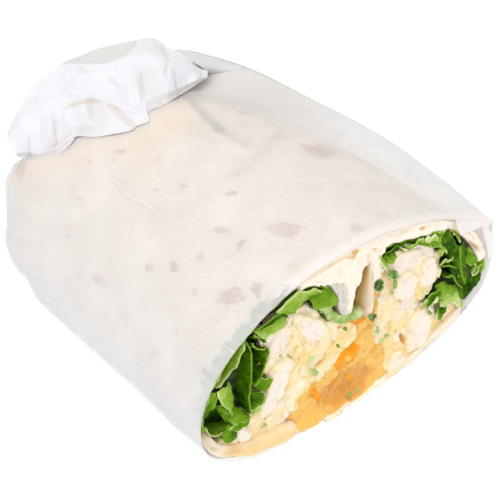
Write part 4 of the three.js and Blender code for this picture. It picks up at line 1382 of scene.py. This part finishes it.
def make_rib():
    rib = fused([prism([Line(RIB, closed=True)(i / 40) for i in range(40)], 0.2, 24)], 0.35)
    strand = fused([prism([Line(STRAND, closed=True)(i / 40) for i in range(40)], 0.1, 5)], 0.3)
    for part, tone in ((rib, 0.0), (strand, 1.0)):
        layer = part.verts.layers.float.new("tone")
        for vert in part.verts:
            vert[layer] = tone
            push = noise.noise(vert.co / MM * (0.5 + 0.7 * tone)) * (0.15 + 0.55 * tone)
            vert.co += Vector((push, push, 0)) * MM
        soften(part, 3 - 2 * round(tone))
    return piece("pale_rib", joined([rib, strand]), rib_finish(), ["lettuce_rib"])


# ------------------------------------------------------------------ filling
FILLING_LEFT = [
    (-33.5, 11), (-30, 8.2), (-24, 6), (-17, 5.4), (-15.4, 6.4), (-9.3, 11.6), (-4.7, 13.1), (-1.6, 16.7),
    (1.4, 20.4), (0, 24.6), (-3.6, 27), (-7, 29.5), (-9, 33.5), (-11.5, 36.4), (-14.4, 37.8), (-16.5, 35.6),
    (-20, 35.2), (-22.6, 36), (-21.8, 33), (-20.6, 30), (-22.4, 26), (-20.2, 22.8), (-21.8, 19), (-23.6, 15.4),
    (-27, 13.6),
]
FILLING_RIGHT = [
    (11.2, 1.4), (20.4, 3.6), (31.6, 9.4), (29.4, 11.8), (27.4, 13.6), (25.2, 10.2), (23.8, 13.6), (20.6, 17),
    (18.9, 18.4), (21.2, 20.6), (24, 22.6), (24.2, 26), (23.1, 27.8), (24.2, 29.6), (22.4, 30.8), (20.8, 33.4),
    (18, 35.8), (15.2, 37.4), (10.6, 37.8), (9.4, 36.2), (7.6, 36.4), (6.9, 34), (5.4, 32.6), (7, 29),
    (6.8, 23), (6.8, 15.6), (10.2, 10.7), (11.4, 8),
]
FRONT_DEPTH = 9


# Orange-brown hollows, some of them painted brown shadow along the lettuce and under the strand,
# then paler patches: place, half sizes, slant in degrees, amount.
CREVICES_AND_SHADOWS = [
    (-26.1, 12.5, 1.5, 0.5, -64, 1.3), (-21.6, 8.2, 0.9, 0.45, 0, 0.7), (-15.6, 15.4, 2.2, 0.7, 70, 0.55),
    (-12.3, 18.4, 1.5, 0.45, 80, 0.6), (-7.2, 17.2, 1.9, 0.9, 20, 0.7), (-14.3, 34.4, 2.6, 0.3, 106, 0.6),
    (-12.9, 28.4, 1.8, 0.3, 115, 0.45), (-22, 26.6, 2.4, 0.4, 84, 0.6), (-24, 14, 2.4, 0.4, 38, 0.6),
    (-2.6, 25.2, 0.9, 0.4, -20, 0.9), (-3.8, 21.4, 0.9, 0.45, -60, 0.8), (-18.6, 28.4, 0.5, 0.4, 0, 0.4),
    (-9.6, 20.4, 1.6, 0.3, 30, 0.4), (-18.4, 18, 5.4, 0.25, 68, 0.35), (-22.2, 14, 4.2, 0.25, 66, 0.4),
    (15.9, 9.2, 2.1, 0.5, -70, 1.5), (12.3, 35.2, 2.4, 0.7, 78, 0.9), (13.2, 23, 2.2, 0.22, -52, 0.8),
    (13.8, 13, 1.3, 0.3, -60, 0.6), (19.1, 26.7, 0.7, 0.4, 30, 0.5), (10.2, 27.4, 1.8, 0.4, 60, 0.4),
    (17.2, 7, 2.2, 0.25, 80, 0.3), (26.6, 10.4, 1.0, 0.4, -60, 0.7), (28.4, 13.4, 1.2, 0.4, -50, 0.6),
    (14.6, 30.8, 2, 0.2, -20, 0.4), (11.4, 16.6, 2.6, 0.3, -75, 0.4), (8.8, 21.5, 2.6, 0.3, 85, 0.35),
]
PALE_PATCHES = [
    (-28, 10.4, 2, 1.2, -60, 0.8), (-19.4, 33.4, 2.4, 1.6, -10, 0.6), (-18.6, 27, 1.8, 1.6, 0, 0.5),
    (8, 27, 1.4, 4, 0, 0.5), (17, 33.6, 3.4, 2.4, -30, 0.5), (15.8, 20.6, 2.4, 3.4, 0, 0.5),
    (23, 9, 1.2, 5, 0, 0.4), (-10, 24, 2.4, 1.2, 40, 0.4), (9, 15, 2.4, 1.6, 0, 0.3),
    (-12, 22, 1.8, 2.6, 0, -0.6), (-14, 11, 4, 2, 20, -0.3), (-4, 19, 2.4, 3.6, -30, -0.6),
    (10.6, 13, 1.6, 5, -10, -0.6), (19.4, 23, 2.2, 2.6, 0, -0.3), (27.4, 8.4, 3, 1.4, 20, -0.5),
    (-24, 8, 3, 1.4, 20, -0.3),
]


def mark_hollows(bm, reach=14):
    """Marks how deep each point lies in a hollow, against a smoothed copy of the skin."""
    hollow = bm.verts.layers.float.new("hollow")
    bm.normal_update()
    before = [vert.co.copy() for vert in bm.verts]
    normals = [vert.normal.copy() for vert in bm.verts]
    soften(bm, reach)
    for vert, was, normal in zip(bm.verts, before, normals):
        vert[hollow] = (vert.co - was).dot(normal) / MM / 0.5
        vert.co = was


def make_filling(name, node, outline, slant):
    def height(x, z):
        big, big_edge, _ = facets(x, z, 3.4, slant, 1.3)
        small, small_edge, _ = facets(x, z, 1.3, slant + 40, 5.1)
        rise = big * 0.42 - big_edge * 0.12 + small * 0.1 - small_edge * 0.03
        return rise + noise.noise(Vector((x, z, 2)) * 1.9) * 0.12 - covered(x, z, CREVICES_AND_SHADOWS) * 0.8

    front = cut_slab(outline, 0.9, 0.3, height, FRONT_DEPTH)
    mark_hollows(front)
    pale = front.verts.layers.float.new("pale")
    crevice = front.verts.layers.float.new("crevice")
    for vert in front.verts:
        spot = local(vert.co)
        big_tone = facets(spot.x, spot.z, 3.4, slant, 1.3)[2]
        small_tone = facets(spot.x, spot.z, 1.3, slant + 40, 5.1)[2]
        vert[pale] = 0.45 + big_tone * 0.7 + small_tone * 0.35 + covered(spot.x, spot.z, PALE_PATCHES)
        vert[crevice] = covered(spot.x, spot.z, CREVICES_AND_SHADOWS)
    line = Line(outline, closed=True)
    rear = prism([line(i / 90) for i in range(90)], FRONT_DEPTH - 1, FOOD_END)
    return piece(name, joined([front, rear]), filling_finish(), [node])


# ------------------------------------------------------------------ chicken
# Outline on the cut face, how far it stands out, how far back it runs, which way its fibres run.
CHUNKS = [
    ([(-14.7, 36.6), (-13.6, 32.6), (-12.4, 29.6), (-11.2, 27), (-8.6, 25.4), (-6.2, 27), (-7.4, 30.2),
      (-9.6, 32.4), (-12, 34.8)], 0.9, 27, -55),
    ([(-20.2, 23), (-20.8, 18.6), (-22.4, 14.4), (-22, 11.6), (-19.6, 12.4), (-17.2, 16.4), (-16, 20.4),
      (-15.2, 24.4), (-17.2, 25)], 1.2, 31, 68),
    ([(-28.8, 12.4), (-28.4, 9.8), (-26.2, 7.4), (-24.6, 8), (-25.4, 10.6), (-26.6, 12.8)], 0.5, 18, -60),
    ([(-21.6, 34.4), (-21.4, 31.4), (-20.2, 28), (-17.6, 27), (-16, 29.4), (-15.4, 33), (-17.4, 35)], 0.4, 24, 40),
    ([(9.6, 35.6), (9.4, 31.6), (12.4, 30.8), (16.6, 30.6), (19, 32.6), (15.4, 36), (11.6, 36.8)], 0.3, 26, 100),
    ([(10.9, 28.6), (11.2, 25.6), (12.8, 23.4), (15.6, 22), (17.2, 25), (16.4, 28.6), (14.2, 30.4)], 0.9, 22, 60),
    ([(19, 29.6), (18.4, 25), (20.4, 22.2), (23, 23.6), (22.8, 28), (21.2, 31)], 0.5, 25, 80),
    ([(16.9, 15), (16.8, 10), (17.6, 5.4), (21.4, 5), (22.8, 10), (22, 14.8), (19.6, 16.4)], 1.2, 30, 95),
    ([(11.9, 4.4), (11.9, 2), (14.4, 1.6), (16.2, 3.6), (15.2, 6.4), (13, 6.6)], 0.9, 20, 20),
]


def make_chunk(i, outline, proud, length, slant, finish):
    def height(x, z):
        big, edge, _ = facets(x, z, 3.6, slant, i * 2.3)
        turn = math.radians(slant)
        along = x * math.cos(turn) + z * math.sin(turn)
        across = z * math.cos(turn) - x * math.sin(turn)
        strand = noise.noise(Vector((along * 0.3, across * 1.5, i)))
        return big * 0.3 - edge * 0.05 + strand * 0.2 - covered(x, z, CREVICES_AND_SHADOWS) * 0.5

    solid = cut_slab(outline, 0.9 - 0.7 * proud, 0.34, height, length, 0.2)
    rim = solid.verts.layers.float.new("rim")
    for vert in solid.verts:
        spot = local(vert.co)
        vert[rim] = 1 - smoothstep(depth_inside(spot.x, spot.z, outline), -0.2, 1.3)
    return piece(f"chicken_chunk_{i}", solid, finish, [f"chicken_{i}"])


# ------------------------------------------------------------------ chutney
CHUTNEY = [
    (-14.9, 6.4), (-13.2, 4), (-12.4, 1.8), (-10.6, 1), (2, 1), (10, 1.2), (11.4, 3.8), (11, 8), (9.8, 10.5),
    (6.6, 15.4), (6.4, 23), (7, 29.8), (5.4, 32), (4.4, 28), (3.8, 24.2), (0.4, 25), (2, 20.4),
    (-1.2, 16.4), (-4.4, 12.7), (-9, 11.2),
]
DEEP_PATCHES = [
    (-8.6, 9.4, 1.2, 2.4, 20, 1.1), (-6.9, 6.4, 1.0, 1.8, 20, 0.8), (-3.6, 8.6, 0.7, 2.2, -10, 0.6),
    (-1.8, 13.6, 1.6, 2.6, 10, 1.0), (1, 16.2, 2.4, 1.5, -20, 1.3), (1.8, 13, 1.0, 1.8, 10, 1.0),
    (1.6, 7, 1.3, 0.8, -50, 0.9), (2, 23.8, 2.8, 1.0, -22, 1.2), (-15, 6.8, 0.9, 1.2, 0, 0.5),
    (4.9, 26.4, 0.8, 1.6, 0, 0.7), (5.6, 29, 0.8, 2, 0, 0.4),
]


def make_chutney():
    def height(x, z):
        big, edge, _ = facets(x, z, 4.2, 35, 8.3)
        small, small_edge, _ = facets(x, z, 1.7, 80, 3.7)
        return big * 0.5 - edge * 0.2 + small * 0.2 - small_edge * 0.1 + 1.9 * (1 - smoothstep(z, 1, 4.5))

    front = cut_slab(CHUTNEY, 1.0, 0.32, height, FRONT_DEPTH, 0.6)
    deep = front.verts.layers.float.new("deep")
    low = front.verts.layers.float.new("low")
    lip = front.verts.layers.float.new("lip")
    for vert in front.verts:
        spot = local(vert.co)
        edge = 1.5 + 0.8 * smoothstep(spot.x, 2, 9)
        vert[lip] = (1 - smoothstep(spot.z, edge - 0.5, edge + 0.5)) * smoothstep(spot.x, -9, -5)
        vert[deep] = covered(spot.x, spot.z, DEEP_PATCHES)
        vert[low] = covered(spot.x, spot.z, [(0, 6, 8.4, 4.6, 0, 1.0)])
    line = Line(CHUTNEY, closed=True)
    rear = prism([line(i / 90) for i in range(90)], FRONT_DEPTH - 1, FOOD_END)
    return piece("chutney_jelly", joined([front, rear]), chutney_finish(), ["chutney"])


# ------------------------------------------------------------------ herbs
# Place on the cut face, half sizes across and up, and tone from dark to pale.
HERBS = [
    (5.9, 32.8, 0.8, 1.1, 0.1), (6.5, 31.6, 0.5, 0.8, 0.3), (9.1, 34, 0.7, 0.6, 0.4), (10.2, 32.8, 0.5, 1.0, 0.5),
    (8.7, 33.2, 0.4, 0.7, 0.75), (9.6, 33.1, 0.3, 0.6, 0.1), (10.4, 30.2, 0.35, 1.4, 0.6), (9.8, 28.4, 0.3, 0.9, 0.75),
    (5.2, 24, 0.8, 0.5, 0.1), (4.6, 24.5, 0.4, 0.4, 0.4), (6.8, 19.6, 0.25, 0.6, 0.7), (6.5, 18.8, 0.3, 0.3, 0.8),
    (9.4, 15.9, 0.7, 0.3, 0.7), (8.2, 15.3, 0.7, 0.3, 0.85), (-10.2, 18.5, 0.5, 0.5, 0.75),
    (-9.4, 17.4, 0.5, 0.6, 0.7), (21.8, 14.8, 0.4, 0.4, 0.5), (-22, 10.4, 0.3, 0.25, 0.6),
    (-10.8, 22.6, 0.4, 0.7, 0.95), (-2.2, 25.4, 0.4, 0.3, 0.3), (-18.4, 28.4, 0.3, 0.4, 0.75),
    (-3.8, 21.5, 0.35, 0.3, 0.3), (19.6, 22.3, 0.7, 0.3, 0.95), (0.4, 3.6, 0.8, 0.15, 0.6), (2.4, 3.4, 0.4, 0.12, 0.7),
]


def make_herbs():
    parts = []
    for x, z, across, up, tone in HERBS:
        flake = blob((x, z, -0.2), (across, 0.5, up), 3)
        layer = flake.verts.layers.float.new("tone")
        for vert in flake.verts:
            vert[layer] = tone
            vert.co += noise.noise_vector(vert.co / MM * 1.9) * 0.9 * min(across, up) * MM
            vert.co += noise.noise_vector(vert.co / MM * 5) * 0.3 * min(across, up) * MM
        parts.append(flake)
    return piece("herbs", joined(parts), herb_finish())


# ------------------------------------------------------------------ floor and light
def make_studio():
    bm = bmesh.new()
    bmesh.ops.create_grid(bm, x_segments=1, y_segments=1, size=1.5)
    mesh = bpy.data.meshes.new("floor")
    bm.to_mesh(mesh)
    bm.free()
    floor = bpy.data.objects.new("floor", mesh)
    white = bpy.data.materials.new("floor")
    white.use_nodes = True
    shader = white.node_tree.nodes["Principled BSDF"]
    shader.inputs["Base Color"].default_value = (0.9, 0.9, 0.9, 1)
    shader.inputs["Roughness"].default_value = 0.9
    shader.inputs["Specular IOR Level"].default_value = 0.0
    shader.inputs["Emission Color"].default_value = (1, 1, 1, 1)
    shader.inputs["Emission Strength"].default_value = 0.3
    mesh.materials.append(white)
    bpy.context.scene.collection.objects.link(floor)

    world = bpy.data.worlds.new("studio")
    world.use_nodes = True
    world.node_tree.nodes["Background"].inputs["Color"].default_value = (1, 1, 1, 1)
    world.node_tree.nodes["Background"].inputs["Strength"].default_value = 0.52
    bpy.context.scene.world = world

    for name, (x, y, z), size, power in (
        ("key", (-0.35, -0.3, 1.0), 0.7, 7.4),
        ("fill", (0.6, -0.7, 0.5), 0.8, 0.9),
        ("back", (0.3, 0.8, 0.7), 0.7, 1.8),
    ):
        data = bpy.data.lights.new(name, "AREA")
        data.size = size
        data.energy = power
        lamp = bpy.data.objects.new(name, data)
        lamp.location = (x, y, z)
        lamp.rotation_euler = (-lamp.location).to_track_quat("-Z", "Y").to_euler()
        bpy.context.scene.collection.objects.link(lamp)
    scene = bpy.context.scene
    scene.view_settings.view_transform = "Standard"
    scene.cycles.transparent_max_bounces = 24


make_tortilla()
make_paper()
make_lettuce("lettuce_left_leaves", "lettuce_left", left_leaves(), LETTUCE_LEFT_CORE)
make_lettuce("lettuce_right_leaves", "lettuce_right", right_leaves(), LETTUCE_RIGHT_CORE)
make_rib()
make_filling("filling_left_lobe", "filling_left", FILLING_LEFT, 62)
make_filling("filling_right_lobe", "filling_right", FILLING_RIGHT, 105)
meat = chicken_finish()
for number, (chunk_outline, chunk_proud, chunk_length, chunk_slant) in enumerate(CHUNKS, 1):
    make_chunk(number, chunk_outline, chunk_proud, chunk_length, chunk_slant, meat)
make_chutney()
make_herbs()
make_studio()
